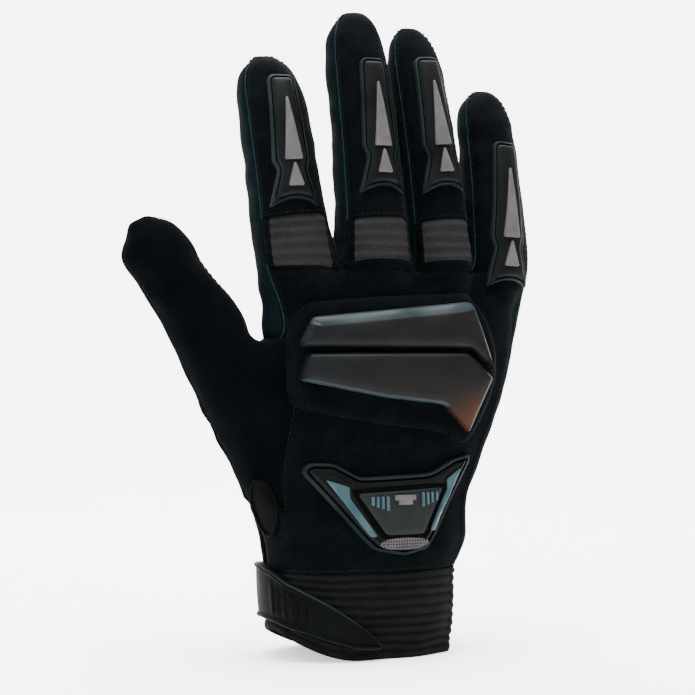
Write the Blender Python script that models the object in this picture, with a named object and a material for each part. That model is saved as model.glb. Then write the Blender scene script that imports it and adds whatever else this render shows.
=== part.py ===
"""A right-hand off-road riding glove in the form that a hand gives it, fingers up.

Frame: +Z runs from the hem to the fingertips, -Y is the back of the hand, +Y the palm,
-X the thumb side. The origin is the middle of the wrist opening, at the hem's lowest level.
The glove is a closed skin of sections, cut into its sewn panels. Each panel is a wall of
cloth or leather, and the moulded guards, plates and badge lie on the back of it.
"""

import math
from collections import namedtuple

import bmesh
import bpy
from mathutils import Vector
from mathutils.bvhtree import BVHTree

MM = 0.001

# Driving sizes of the sewn glove
HAND_HEIGHT = 147 * MM
KNUCKLE_WIDTH = 104 * MM
HAND_DEPTH = 46 * MM
CUFF_HEIGHT = 33 * MM
HEM_RISE = 11 * MM
BINDING_HEIGHT = 3.2 * MM
BINDING_THICKNESS = 2.6 * MM
WALL = 1.6 * MM
SEAM_GAP = 0.3 * MM
LAY_GAP = 0.35 * MM

# Driving sizes of the ribs and of what lies on the glove
CUFF_RIBS = 6
CUFF_RIB_HEIGHT = 1.0 * MM
STRETCH_RIBS = 5
STRETCH_RIB_HEIGHT = 0.9 * MM
STRETCH_HEIGHT = 19.5 * MM
GUARD_HEIGHT = 2.4 * MM
INLAY_HEIGHT = 0.8 * MM
PAD_HEIGHT = 4.0 * MM
PLATE_HEIGHT = 3.4 * MM
BADGE_HEIGHT = 2.6 * MM
BADGE_TRIM_HEIGHT = 0.9 * MM
STRAP_THICKNESS = 2.6 * MM
STRAP_LIFT = 0.6 * MM
ROOT_PATCH_HEIGHT = 2.0 * MM

# Sections of the hand, hem first. left, right: edge from the wrist's axis, share of
# KNUCKLE_WIDTH. back, palm: depth from the wrist's axis, share of HAND_DEPTH. level: share of
# the cuff's height up to the seam (zone 0), then share of the rest up to the finger bases.
# arch: how far the section follows the finger bases.
HandSection = namedtuple("HandSection", "zone level left right back palm arch")
HAND_SECTIONS = [
    HandSection(0, 0.00, -0.352, 0.350, 0.480, 0.490, 0.0),
    HandSection(0, 0.50, -0.362, 0.366, 0.515, 0.500, 0.0),
    HandSection(0, 1.00, -0.366, 0.376, 0.490, 0.490, 0.0),
    HandSection(1, 0.09, -0.372, 0.425, 0.480, 0.500, 0.0),
    HandSection(1, 0.21, -0.422, 0.432, 0.450, 0.530, 0.0),
    HandSection(1, 0.34, -0.435, 0.490, 0.435, 0.545, 0.0),
    HandSection(1, 0.48, -0.412, 0.552, 0.425, 0.530, 0.0),
    HandSection(1, 0.61, -0.390, 0.606, 0.410, 0.480, 0.05),
    HandSection(1, 0.77, -0.378, 0.644, 0.390, 0.420, 0.20),
    HandSection(1, 0.89, -0.384, 0.680, 0.360, 0.370, 0.60),
]
CUFF_ROWS = 2
THUMB_ROW_LOW = 4
THUMB_ROW_HIGH = 8

# Fingers, thumb side first. All lengths in metres: place of the base, length from the base to
# the tip, width and depth at the middle joint, sideways lean and curl to the palm at the tip.
Finger = namedtuple("Finger", "name x y length width depth lean curl stretch")
FINGERS = [
    Finger("index", -26.0 * MM, 0.5 * MM, 81 * MM, 28.0 * MM, 25.0 * MM, -9.0 * MM, 11 * MM, True),
    Finger("middle", 5.8 * MM, -2.0 * MM, 100 * MM, 26.4 * MM, 24.6 * MM, -5.0 * MM, 12 * MM, True),
    Finger("ring", 34.4 * MM, -0.6 * MM, 96.5 * MM, 24.0 * MM, 23.0 * MM, -8.6 * MM, 13 * MM, True),
    Finger("little", 60.6 * MM, 2.6 * MM, 72.5 * MM, 24.2 * MM, 21.4 * MM, -2.0 * MM, 11 * MM, False),
]

# Sections of every finger above its first knuckle. along: share of the length above the
# stretch panel. width, depth: share of the finger's own.
FingerSection = namedtuple("FingerSection", "along width depth")
FINGER_SECTIONS = [
    FingerSection(0.00, 1.06, 1.06),
    FingerSection(0.17, 1.03, 1.04),
    FingerSection(0.34, 1.00, 1.00),
    FingerSection(0.50, 0.98, 0.96),
    FingerSection(0.66, 0.95, 0.91),
    FingerSection(0.79, 0.90, 0.84),
    FingerSection(0.90, 0.76, 0.70),
    FingerSection(0.965, 0.52, 0.48),
]
FINGER_BASE_WIDTH = 1.10
FINGER_BASE_DEPTH = 1.14
SEAM_ANGLE = 28
CROTCH_RISE = 10 * MM
PALM_BASE_RISE = 8 * MM
TIP_DOME = 0.45

# Sections of the thumb, from the web with the hand. along: share of its length. sway: offset
# away from the index finger, share of its length. turn: 0 lies in the hand's side, 1 squarely
# across the thumb. width, depth: share of the thumb's own.
THUMB_ROOT = Vector((-40 * MM, 3 * MM, 84 * MM))
THUMB_LENGTH = 91.5 * MM
THUMB_WIDTH = 27 * MM
THUMB_DEPTH = 26 * MM
THUMB_ANGLE = 30
THUMB_FORWARD = 8 * MM
ThumbSection = namedtuple("ThumbSection", "along sway turn width depth")
THUMB_SECTIONS = [
    ThumbSection(0.22, -0.016, 0.27, 1.54, 1.30),
    ThumbSection(0.385, -0.030, 0.47, 1.34, 1.20),
    ThumbSection(0.575, -0.034, 0.85, 1.03, 1.08),
    ThumbSection(0.735, -0.026, 1.00, 0.93, 1.00),
    ThumbSection(0.85, -0.016, 1.00, 0.95, 0.92),
    ThumbSection(0.93, -0.018, 1.00, 0.78, 0.76),
    ThumbSection(0.97, -0.020, 1.00, 0.54, 0.52),
]

RAY_REACH = 90 * MM
CELL_SAMPLES = [(s / 6, t / 6) for s in range(7) for t in range(7)]
COLUMNS = 4
BACK_COUNT = COLUMNS * len(FINGERS) + 1
RING_COUNT = 2 * BACK_COUNT + 2
RIGHT_MID = BACK_COUNT
LEFT_MID = RING_COUNT - 1
SIDE_SHARE = 0.90
SECTION_POWER = 2.5


def palm_column(i):
    """Ring column of palm point i, which lies under back point i."""
    return 2 * BACK_COUNT - i


def clear_scene():
    for old in list(bpy.data.objects):
        bpy.data.objects.remove(old)


def material(name, colour, roughness, metallic=0.0):
    made = bpy.data.materials.new(name)
    made.use_nodes = True
    shader = made.node_tree.nodes["Principled BSDF"]
    shader.inputs["Base Color"].default_value = (*colour, 1.0)
    shader.inputs["Roughness"].default_value = roughness
    shader.inputs["Metallic"].default_value = metallic
    return made


def add_object(name, bm, finish):
    mesh = bpy.data.meshes.new(name)
    bm.to_mesh(mesh)
    bm.free()
    mesh.materials.append(finish)
    mesh.shade_smooth()
    mesh.set_sharp_from_angle(angle=math.radians(40))
    made = bpy.data.objects.new(name, mesh)
    bpy.context.scene.collection.objects.link(made)
    return made


def hem_height(x):
    """The hem rises towards the thumb side of the wrist."""
    edge = -HAND_SECTIONS[0].left * KNUCKLE_WIDTH
    share = min(1.0, max(0.0, (-x / edge - 0.2) / 0.8))
    return BINDING_HEIGHT + HEM_RISE * share * share


def finger_angle(i):
    """Angle of a finger's ring point: back corner to corner, side, palm, side."""
    back = [180 - SEAM_ANGLE - (180 - 2 * SEAM_ANGLE) * j / COLUMNS for j in range(COLUMNS + 1)]
    turns = back + [0.0] + [-a for a in reversed(back)] + [180.0]
    return math.radians(turns[i])


FINGER_RING = 2 * COLUMNS + 4


def finger_axis(finger, rise):
    """Point and direction of a finger's axis at a height above its base."""
    share = rise / finger.length
    bend = finger.curl * share * share
    point = Vector((finger.x + finger.lean * share, finger.y + bend, HAND_HEIGHT + rise))
    slope = Vector((finger.lean / finger.length, 2 * finger.curl * share / finger.length, 1.0))
    return point, slope.normalized()


def finger_frame(finger, rise):
    """Axis point, sideways direction and back direction of a finger's section."""
    point, along = finger_axis(finger, rise)
    side = (Vector((1, 0, 0)) - along * along.x).normalized()
    return point, side, side.cross(along)


def finger_ring(finger, rise, width, depth):
    point, side, back = finger_frame(finger, rise)
    ring = []
    for i in range(FINGER_RING):
        angle = finger_angle(i)
        ring.append(point + side * (math.cos(angle) * width / 2) + back * (math.sin(angle) * depth / 2))
    return ring


def base_point(k, j, is_back):
    """A point of finger k's base on the back or palm edge, j columns from the thumb side."""
    finger = FINGERS[k]
    angle = finger_angle(j)
    width, depth = finger.width * FINGER_BASE_WIDTH, finger.depth * FINGER_BASE_DEPTH
    x = finger.x + math.cos(angle) * width / 2
    y = math.sin(angle) * depth / 2
    if is_back:
        return Vector((x, finger.y - y, HAND_HEIGHT))
    return Vector((x, finger.y + y, HAND_HEIGHT + PALM_BASE_RISE))


def base_edge(is_back):
    """The base points of all fingers along the back or the palm, shared where fingers meet."""
    edge = []
    for k in range(len(FINGERS)):
        for j in range(COLUMNS + 1):
            here = base_point(k, j, is_back)
            if j == 0 and k > 0:
                edge[-1] = (edge[-1] + here) / 2
            else:
                edge.append(here)
    return edge


def hand_ring(section, base_back, base_palm):
    """One ring of the hand: back points, right side, palm points, left side."""
    left, right = section.left * KNUCKLE_WIDTH, section.right * KNUCKLE_WIDTH
    middle, half = (left + right) / 2, (right - left) / 2
    first, last = base_back[0].x, base_back[-1].x

    def height(x):
        if section.zone == 0:
            low = hem_height(x)
            return low + (CUFF_HEIGHT - low) * section.level
        return CUFF_HEIGHT + (HAND_HEIGHT - CUFF_HEIGHT) * section.level

    def point(base, depth, sign):
        across = ((base.x - first) / (last - first) * 2 - 1) * SIDE_SHARE
        fullness = (1 - abs(across) ** SECTION_POWER) ** (1 / SECTION_POWER)
        x = middle + half * across
        y = sign * depth * fullness * HAND_DEPTH
        return Vector((x, y + (base.y - y) * section.arch, height(x)))

    back = [point(b, section.back, -1) for b in base_back]
    palm = [point(b, section.palm, 1) for b in base_palm]
    side = (section.palm - section.back) / 2 * HAND_DEPTH
    return [*back, Vector((right, side, height(right))), *reversed(palm), Vector((left, side, height(left)))]


def thumb_frame(section):
    lean = math.radians(THUMB_ANGLE)
    along = Vector((-math.sin(lean), 0, math.cos(lean)))
    inner = Vector((math.cos(lean), 0, math.sin(lean)))
    centre = THUMB_ROOT + along * (section.along * THUMB_LENGTH) - inner * (section.sway * THUMB_LENGTH)
    centre.y += THUMB_FORWARD * section.along
    tilt = section.turn * (math.pi / 2 - lean)
    return centre, Vector((math.sin(tilt), 0, math.cos(tilt))), Vector((0, -1, 0))


def thumb_ring(section, count):
    """A ring of the thumb. Its point 0 starts an eighth of a turn before the inner side."""
    centre, inner, back = thumb_frame(section)
    ring = []
    for q in range(count):
        angle = 2 * math.pi * (q / count) - math.pi / 4
        across = inner * (math.cos(angle) * section.width * THUMB_WIDTH / 2)
        ring.append(centre + across + back * (math.sin(angle) * section.depth * THUMB_DEPTH / 2))
    return ring


class Skin:
    """The glove's outer surface as one quad mesh, each face marked with its panel."""

    def __init__(self):
        self.points = []
        self.faces = []
        self.panels = []

    def add(self, point):
        self.points.append(Vector(point))
        return len(self.points) - 1

    def face(self, corners, panel):
        self.faces.append(corners)
        self.panels.append(panel)

    def bridge(self, low, high, panel_of):
        """Quads between two rings that hold the same number of points."""
        count = len(low)
        for c in range(count):
            d = (c + 1) % count
            self.face((low[c], low[d], high[d], high[c]), panel_of(c))

    def cap(self, ring, columns, outward, panel_of):
        """Closes a ring with a grid of quads, columns wide, domed outward."""
        rows = len(ring) // 2 - columns
        grid = [[None] * (columns + 1) for _ in range(rows + 1)]
        for i in range(columns + 1):
            grid[0][i] = ring[i]
            grid[rows][i] = ring[2 * columns + rows - i]
        for r in range(1, rows):
            grid[r][columns] = ring[columns + r]
            grid[r][0] = ring[len(ring) - r]
        centre = sum((self.points[v] for v in ring), Vector()) / len(ring)
        reach = sum((self.points[v] - centre).length for v in ring) / len(ring)
        for r in range(1, rows):
            for i in range(1, columns):
                west, east = self.points[grid[r][0]], self.points[grid[r][columns]]
                north, south = self.points[grid[0][i]], self.points[grid[rows][i]]
                flat = west.lerp(east, i / columns) * 0.5 + north.lerp(south, r / rows) * 0.5
                grid[r][i] = self.add(flat + outward * reach * TIP_DOME)
        for r in range(rows):
            for i in range(columns):
                corners = (grid[r][i], grid[r][i + 1], grid[r + 1][i + 1], grid[r + 1][i])
                self.face(corners, panel_of(r, i))


def side_panel(k):
    """The panel on the little-finger side of finger k, counted from the outer side of the index."""
    if k in (0, len(FINGERS)):
        return "index_side" if k == 0 else "little_side"
    return f"fourchette_{FINGERS[k - 1].name}_{FINGERS[k].name}"


def hand_panel(row, column):
    if row < CUFF_ROWS:
        return "cuff_back" if column < BACK_COUNT - 1 else "cuff_palm"
    if column < BACK_COUNT - 1:
        return "hand_back"
    if column <= RIGHT_MID:
        return "little_side"
    if column < LEFT_MID - 1:
        return "palm"
    if row >= THUMB_ROW_HIGH:
        return "index_side"
    return "hand_back" if column == LEFT_MID else "palm"


def finger_panel(k, row, column):
    if column < COLUMNS:
        name = FINGERS[k].name
        return f"stretch_{name}" if row == 0 and FINGERS[k].stretch else f"finger_back_{name}"
    if column < COLUMNS + 2:
        return side_panel(k + 1)
    if column < 2 * COLUMNS + 2:
        return "palm"
    return side_panel(k)


def build_skin():
    """All the rings and their faces. Returns the skin, the rings of the hand and of each finger."""
    skin = Skin()
    base_back, base_palm = base_edge(True), base_edge(False)
    hand = []
    for section in HAND_SECTIONS:
        hand.append([skin.add(p) for p in hand_ring(section, base_back, base_palm)])

    sides = (base_back[-1] + base_palm[-1]) / 2, (base_back[0] + base_palm[0]) / 2
    last, first = FINGERS[-1], FINGERS[0]
    sides[0].x = last.x + last.width * FINGER_BASE_WIDTH / 2
    sides[1].x = first.x - first.width * FINGER_BASE_WIDTH / 2
    top = [*base_back, sides[0], *reversed(base_palm), sides[1]]
    hand.append([skin.add(p) for p in top])

    crotches = []
    for k in range(1, len(FINGERS)):
        corner_back, corner_palm = base_back[k * COLUMNS], base_palm[k * COLUMNS]
        middle = (corner_back + corner_palm) / 2
        middle.z = HAND_HEIGHT + CROTCH_RISE
        crotches.append(skin.add(middle))
    side_mids = [hand[-1][LEFT_MID], *crotches, hand[-1][RIGHT_MID]]

    fingers = []
    for k, finger in enumerate(FINGERS):
        back = [hand[-1][k * COLUMNS + j] for j in range(COLUMNS + 1)]
        palm = [hand[-1][palm_column(k * COLUMNS + j)] for j in range(COLUMNS + 1)]
        rings = [[*back, side_mids[k + 1], *reversed(palm), side_mids[k]]]
        for section in FINGER_SECTIONS:
            rise = STRETCH_HEIGHT + (finger.length - STRETCH_HEIGHT) * section.along
            ring = finger_ring(finger, rise, section.width * finger.width, section.depth * finger.depth)
            rings.append([skin.add(p) for p in ring])
        for row, (low, high) in enumerate(zip(rings, rings[1:])):
            skin.bridge(low, high, lambda c, k=k, row=row: finger_panel(k, row, c))
        name = finger.name
        outward = finger_axis(finger, finger.length)[1]
        skin.cap(rings[-1], COLUMNS, outward, lambda r, i, name=name: "palm" if r else f"finger_back_{name}")
        fingers.append(rings)

    hole = {palm_column(1), palm_column(0), LEFT_MID, 0}
    for row, (low, high) in enumerate(zip(hand, hand[1:])):
        for c in range(RING_COUNT):
            if THUMB_ROW_LOW <= row < THUMB_ROW_HIGH and c in hole:
                continue
            d = (c + 1) % RING_COUNT
            skin.face((low[c], low[d], high[d], high[c]), hand_panel(row, c))

    across = [palm_column(1), palm_column(0), LEFT_MID, 0, 1]
    rows_down = range(THUMB_ROW_HIGH - 1, THUMB_ROW_LOW, -1)
    rim = [hand[THUMB_ROW_HIGH][c] for c in across]
    rim += [hand[r][across[-1]] for r in rows_down]
    rim += [hand[THUMB_ROW_LOW][c] for c in reversed(across)]
    rim += [hand[r][across[0]] for r in reversed(rows_down)]
    count = len(rim)
    rings = [rim] + [[skin.add(p) for p in thumb_ring(s, count)] for s in THUMB_SECTIONS]

    def thumb_panel(column):
        return "thumb_back" if count // 8 <= column < count // 8 + count // 2 else "thumb_palm"

    for low, high in zip(rings, rings[1:]):
        skin.bridge(low, high, thumb_panel)
    quarter = count // 4
    lean = math.radians(THUMB_ANGLE)
    outward = Vector((-math.sin(lean), 0, math.cos(lean)))
    skin.cap(rings[-1], quarter, outward, lambda r, i: "thumb_back" if i >= quarter // 2 else "thumb_palm")
    return skin, hand, fingers


def skin_mesh(skin):
    """The skin as a bmesh whose faces point outwards, with the panel number of each face."""
    bm = bmesh.new()
    names = sorted(set(skin.panels))
    layer = bm.faces.layers.int.new("panel")
    verts = [bm.verts.new(p) for p in skin.points]
    for corners, panel in zip(skin.faces, skin.panels):
        bm.faces.new([verts[c] for c in corners])[layer] = names.index(panel)
    bmesh.ops.recalc_face_normals(bm, faces=bm.faces)
    bm.verts.index_update()
    bm.normal_update()
    return bm, names


FIT_ROUNDS = 3
FIT_STEP = 0.9


def smooth_copy(bm):
    """A subdivided skin that passes through the sections, as a tree to lay pieces on."""
    mesh = bpy.data.meshes.new("smooth_skin")
    bm.to_mesh(mesh)
    cage = bpy.data.objects.new("smooth_skin", mesh)
    bpy.context.scene.collection.objects.link(cage)
    curve = cage.modifiers.new("smooth", "SUBSURF")
    curve.levels = 2
    curve.render_levels = 2
    target = [v.co.copy() for v in mesh.vertices]
    for _ in range(FIT_ROUNDS):
        evaluated = cage.evaluated_get(bpy.context.evaluated_depsgraph_get())
        reached = [evaluated.data.vertices[i].co.copy() for i in range(len(target))]
        for vertex, goal, now in zip(mesh.vertices, target, reached):
            vertex.co += (goal - now) * FIT_STEP
        mesh.update()
        cage.update_tag()
    evaluated = cage.evaluated_get(bpy.context.evaluated_depsgraph_get())
    tree = BVHTree.FromPolygons(
        [v.co.copy() for v in evaluated.data.vertices],
        [tuple(p.vertices) for p in evaluated.data.polygons],
    )
    bpy.data.objects.remove(cage)
    return tree


def inward_shift(vert, faces, gap):
    """The move of a border vertex, square to its wall, that opens half of the seam gap."""
    normals = []
    for edge in vert.link_edges:
        owners = [f for f in edge.link_faces if f in faces]
        if len(owners) != 1:
            continue
        along = (edge.verts[1].co - edge.verts[0].co).normalized()
        inward = owners[0].normal.cross(along).normalized()
        if inward.dot(owners[0].calc_center_median() - edge.verts[0].co) < 0:
            inward.negate()
        inward -= vert.normal * inward.dot(vert.normal)
        normals.append(inward.normalized())
    if len(normals) < 2:
        return Vector()
    return (normals[0] + normals[1]) * (gap / max(0.35, 1 + normals[0].dot(normals[1])))


def wall_faces(bm, out_a, out_b, in_a, in_b, a_first):
    """The wall under one border edge. Neighbouring panels split it along the same diagonal."""
    if a_first:
        bm.faces.new((out_b, out_a, in_b))
        bm.faces.new((out_a, in_a, in_b))
    else:
        bm.faces.new((out_b, out_a, in_a))
        bm.faces.new((out_b, in_a, in_b))


def close_shell(outer, inner, faces, borders):
    """A closed bmesh: outer faces, inner faces turned over, and walls along the border edges."""
    bm = bmesh.new()
    out = {key: bm.verts.new(p) for key, p in outer.items()}
    inn = {key: bm.verts.new(p) for key, p in inner.items()}
    for corners in faces:
        bm.faces.new([out[c] for c in corners])
        bm.faces.new([inn[c] for c in reversed(corners)])
    for a, b in borders:
        wall_faces(bm, out[a], out[b], inn[a], inn[b], a < b)
    bmesh.ops.recalc_face_normals(bm, faces=bm.faces)
    return bm


def panel_points(bm, panel):
    """The faces of a panel, and its outer and inner points after the seam gap is taken off."""
    layer = bm.faces.layers.int["panel"]
    faces = {f for f in bm.faces if f[layer] == panel}
    verts = {v for f in faces for v in f.verts}
    outer = {v.index: v.co + inward_shift(v, faces, SEAM_GAP / 2) for v in verts}
    inner = {v.index: outer[v.index] - v.normal * WALL for v in verts}
    return faces, outer, inner


def panel_solid(bm, panel):
    """One sewn panel: its patch of the skin, given the wall's thickness inwards."""
    faces, outer, inner = panel_points(bm, panel)
    borders = []
    for face in faces:
        for loop in face.loops:
            if sum(f in faces for f in loop.edge.link_faces) == 1:
                borders.append((loop.vert.index, loop.link_loop_next.vert.index))
    corners = [[v.index for v in f.verts] for f in faces]
    return close_shell(outer, inner, corners, borders)


def ribbed_panel(bm, panel, rings, ribs, height):
    """A panel with ribs across it. Its borders and its inside stay plain, like its neighbours'."""
    _, outer, inner = panel_points(bm, panel)
    steps = 2 * ribs // (len(rings) - 1)
    last = len(rings[0]) - 1
    solid = bmesh.new()
    inn = [[solid.verts.new(inner[i]) for i in ring] for ring in rings]
    out = []
    for s in range(steps * (len(rings) - 1) + 1):
        r = min(s // steps, len(rings) - 2)
        share = s / steps - r
        row = []
        for c in range(last + 1):
            low, high = rings[r][c], rings[r + 1][c]
            point = outer[low].lerp(outer[high], share)
            if s % 2 and 0 < c < last:
                point += bm.verts[low].normal.lerp(bm.verts[high].normal, share).normalized() * height
            row.append(solid.verts.new(point))
        out.append(row)
    for s in range(len(out) - 1):
        for c in range(last):
            solid.faces.new((out[s][c], out[s][c + 1], out[s + 1][c + 1], out[s + 1][c]))
    for r in range(len(rings) - 1):
        for c in range(last):
            solid.faces.new((inn[r][c], inn[r + 1][c], inn[r + 1][c + 1], inn[r][c + 1]))
        for c in (0, last):
            for s in range(r * steps, (r + 1) * steps):
                solid.faces.new((out[s][c], out[s + 1][c], inn[r + 1][c]))
            solid.faces.new((out[r * steps][c], inn[r + 1][c], inn[r][c]))
    for r, s in ((0, 0), (-1, -1)):
        for c in range(last):
            first = rings[r][c] < rings[r][c + 1]
            wall_faces(solid, out[s][c], out[s][c + 1], inn[r][c], inn[r][c + 1], first)
    bmesh.ops.recalc_face_normals(solid, faces=solid.faces)
    return solid


def grid_solid(outer, inner, closed=False):
    """A closed bmesh between two grids of points. A closed grid's last row meets its first."""
    rows, columns = len(outer), len(outer[0])
    faces, borders = [], []
    for r in range(rows if closed else rows - 1):
        here, there = r * columns, (r + 1) % rows * columns
        for c in range(columns - 1):
            faces.append((here + c, here + c + 1, there + c + 1, there + c))
        borders.append((here + columns - 1, there + columns - 1))
        borders.append((there, here))
    if not closed:
        top = (rows - 1) * columns
        for c in range(columns - 1):
            borders.append((c, c + 1))
            borders.append((top + c + 1, top + c))
    flat_outer = {r * columns + c: outer[r][c] for r in range(rows) for c in range(columns)}
    flat_inner = {r * columns + c: inner[r][c] for r in range(rows) for c in range(columns)}
    return close_shell(flat_outer, flat_inner, faces, borders)


class Plane:
    """A flat drawing plane in front of the glove. across and up span it, out points off the glove."""

    def __init__(self, origin, across, up):
        self.origin = origin
        self.across = across.normalized()
        self.out = self.across.cross(up).normalized()
        self.up = self.out.cross(self.across).normalized()

    def point(self, u, v, height):
        return self.origin + self.across * u + self.up * v + self.out * height

    def ground(self, trees, u, v):
        """Height of the highest surface under the drawing point u, v."""
        hits = [tree.ray_cast(self.point(u, v, RAY_REACH), -self.out, 2 * RAY_REACH)[3] for tree in trees]
        return max(RAY_REACH - hit for hit in hits if hit is not None)


class Wrap:
    """A drawing wrapped round the wrist. u is the angle from the back to the thumb side, v the level."""

    def point(self, u, v, height):
        return Vector((-math.sin(u) * height, -math.cos(u) * height, v))

    def ground(self, trees, u, v):
        start = self.point(u, v, RAY_REACH)
        aim = self.point(u, v, 0.0) - start
        hits = [tree.ray_cast(start, aim, RAY_REACH)[3] for tree in trees]
        return max(RAY_REACH - hit for hit in hits if hit is not None)


def lay_solid(trees, drawing, grid, low, high):
    """A piece drawn as a grid of (u, v, height share), laid from low to high above a surface.

    Each cell is lifted until it also clears the surface between its corners.
    """
    rows, columns = len(grid), len(grid[0])
    base = [[drawing.ground(trees, u, v) for u, v, _ in row] for row in grid]
    lift = [[0.0] * columns for _ in range(rows)]
    for r in range(rows - 1):
        for c in range(columns - 1):
            cell = [(r, c), (r, c + 1), (r + 1, c), (r + 1, c + 1)]
            excess = 0.0
            for s, t in CELL_SAMPLES:
                weights = [(1 - s) * (1 - t), (1 - s) * t, s * (1 - t), s * t]
                u = sum(w * grid[i][j][0] for w, (i, j) in zip(weights, cell))
                v = sum(w * grid[i][j][1] for w, (i, j) in zip(weights, cell))
                level = sum(w * base[i][j] for w, (i, j) in zip(weights, cell))
                excess = max(excess, drawing.ground(trees, u, v) - level)
            for i, j in cell:
                lift[i][j] = max(lift[i][j], excess)
    outer, inner = [], []
    for row, ground, raised in zip(grid, base, lift):
        places = list(zip(row, ground, raised))
        outer.append([drawing.point(p[0], p[1], g + e + low + (high - low) * p[2]) for p, g, e in places])
        inner.append([drawing.point(p[0], p[1], g + e + low) for p, g, e in places])
    return grid_solid(outer, inner)


def tree_of(bm):
    return BVHTree.FromBMesh(bm)


Station = namedtuple("Station", "across low high rise")
SLAB_PROFILE = [(0.0, 0.35), (0.12, 1.0), (0.37, 1.0), (0.63, 1.0), (0.88, 1.0), (1.0, 0.35)]
PATCH_PROFILE = [(0.0, 1.0), (0.5, 1.0), (1.0, 1.0)]
STATION_STEP = 9 * MM


def station_grid(stations, profile):
    """A grid of (u, v, height share) from stations across a piece, with more stations between."""
    grid = []
    for here, there in zip(stations, stations[1:]):
        parts = max(1, math.ceil((there.across - here.across) / STATION_STEP))
        for p in range(parts):
            share = p / parts
            grid.append([a + (b - a) * share for a, b in zip(here, there)])
    grid.append(list(stations[-1]))
    return [[(u, low + (high - low) * t, rise * h) for t, h in profile] for u, low, high, rise in grid]


def scaled(stations, width, height):
    """Stations whose shares are turned into metres."""
    return [Station(s.across * width, s.low * height, s.high * height, s.rise) for s in stations]


def corner_grid(corners, rows=2, columns=2):
    """A flat-topped patch between four corners: low left, low right, high left, high right."""
    grid = []
    for r in range(rows + 1):
        left = [a + (b - a) * r / rows for a, b in zip(corners[0], corners[2])]
        right = [a + (b - a) * r / rows for a, b in zip(corners[1], corners[3])]
        grid.append([
            (left[0] + (right[0] - left[0]) * c / columns, left[1] + (right[1] - left[1]) * c / columns, 1.0)
            for c in range(columns + 1)
        ])
    return grid


OVAL_END = 0.06


def oval_grid(u, v, width, height, steps, profile):
    """An oval patch, as stations from its left end to its right end."""
    grid = []
    for step in range(steps + 1):
        angle = math.pi * (OVAL_END + (1 - 2 * OVAL_END) * step / steps)
        half = math.sin(angle) * height / 2
        across = u - math.cos(angle) * width / 2
        rise = 0.5 if step in (0, steps) else 1.0
        grid.append([(across, v - half + 2 * half * t, rise * h) for t, h in profile])
    return grid


# A guard's outline, fingertip end first. along: share of the guard's length. half: half
# width, share of the guard's width. The last row is the hollowed lower edge.
GuardSection = namedtuple("GuardSection", "along half")
GUARD_SECTIONS = [
    GuardSection(0.00, 0.22),
    GuardSection(0.035, 0.30),
    GuardSection(0.33, 0.345),
    GuardSection(0.66, 0.39),
    GuardSection(0.73, 0.31),
    GuardSection(0.88, 0.42),
    GuardSection(1.00, 0.50),
]

# The guard of each finger. low: its lower edge above the finger's base. long: its length.
# top_shift, low_shift: how far its ends lie to the little finger's side of the finger's middle.
Guard = namedtuple("Guard", "low long top_shift low_shift")
GUARDS = {
    "index": Guard(20.0 * MM, 51.5 * MM, 1.6 * MM, -1.6 * MM),
    "middle": Guard(26.5 * MM, 53.0 * MM, 2.0 * MM, 0.6 * MM),
    "ring": Guard(27.3 * MM, 54.5 * MM, 1.3 * MM, 0.5 * MM),
    "little": Guard(-8.0 * MM, 58.5 * MM, 3.0 * MM, -0.6 * MM),
}
GUARD_WIDTH = 18.5 * MM
GUARD_NOTCH = 3.0 * MM
GUARD_ACROSS = [(-1.0, 0.35), (-0.72, 1.0), (0.0, 1.0), (0.72, 1.0), (1.0, 0.35)]
LONG_INLAY = (0.19, 0.665, 0.19)
SHORT_INLAY = (0.69, 0.86, 0.165)


def guard_plane(finger):
    """Drawing plane on a finger's back, with its origin at the guard's fingertip end."""
    guard = GUARDS[finger.name]
    start, _ = finger_axis(finger, guard.low + guard.long)
    end, _ = finger_axis(finger, max(0.0, guard.low))
    end.z += min(0.0, guard.low)
    _, side, _ = finger_frame(finger, max(0.0, guard.low + guard.long / 2))
    start += side * guard.top_shift
    end += side * guard.low_shift
    up = (start - end).normalized()
    return Plane(start, side - up * side.dot(up), up)


def guard_grid(finger):
    grid = []
    for index, section in enumerate(GUARD_SECTIONS):
        row = []
        for across, height in GUARD_ACROSS:
            v = -section.along * GUARDS[finger.name].long
            if index == len(GUARD_SECTIONS) - 1:
                v += GUARD_NOTCH * (1 - across * across)
            edge = index in (0, len(GUARD_SECTIONS) - 1)
            row.append((across * section.half * GUARD_WIDTH, v, 0.35 if edge else height))
        grid.append(row)
    return grid


def wedge_grid(length, top, bottom, half, tip=0.03):
    """A tapered inlay from near a point at the top to its full width at the bottom."""
    grid = []
    for step in range(3):
        share = step / 2
        width = half * (tip + (1 - tip) * share)
        v = -(top + (bottom - top) * share) * length
        grid.append([(across * width, v, 1.0) for across in (-1.0, 0.0, 1.0)])
    return grid


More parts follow.
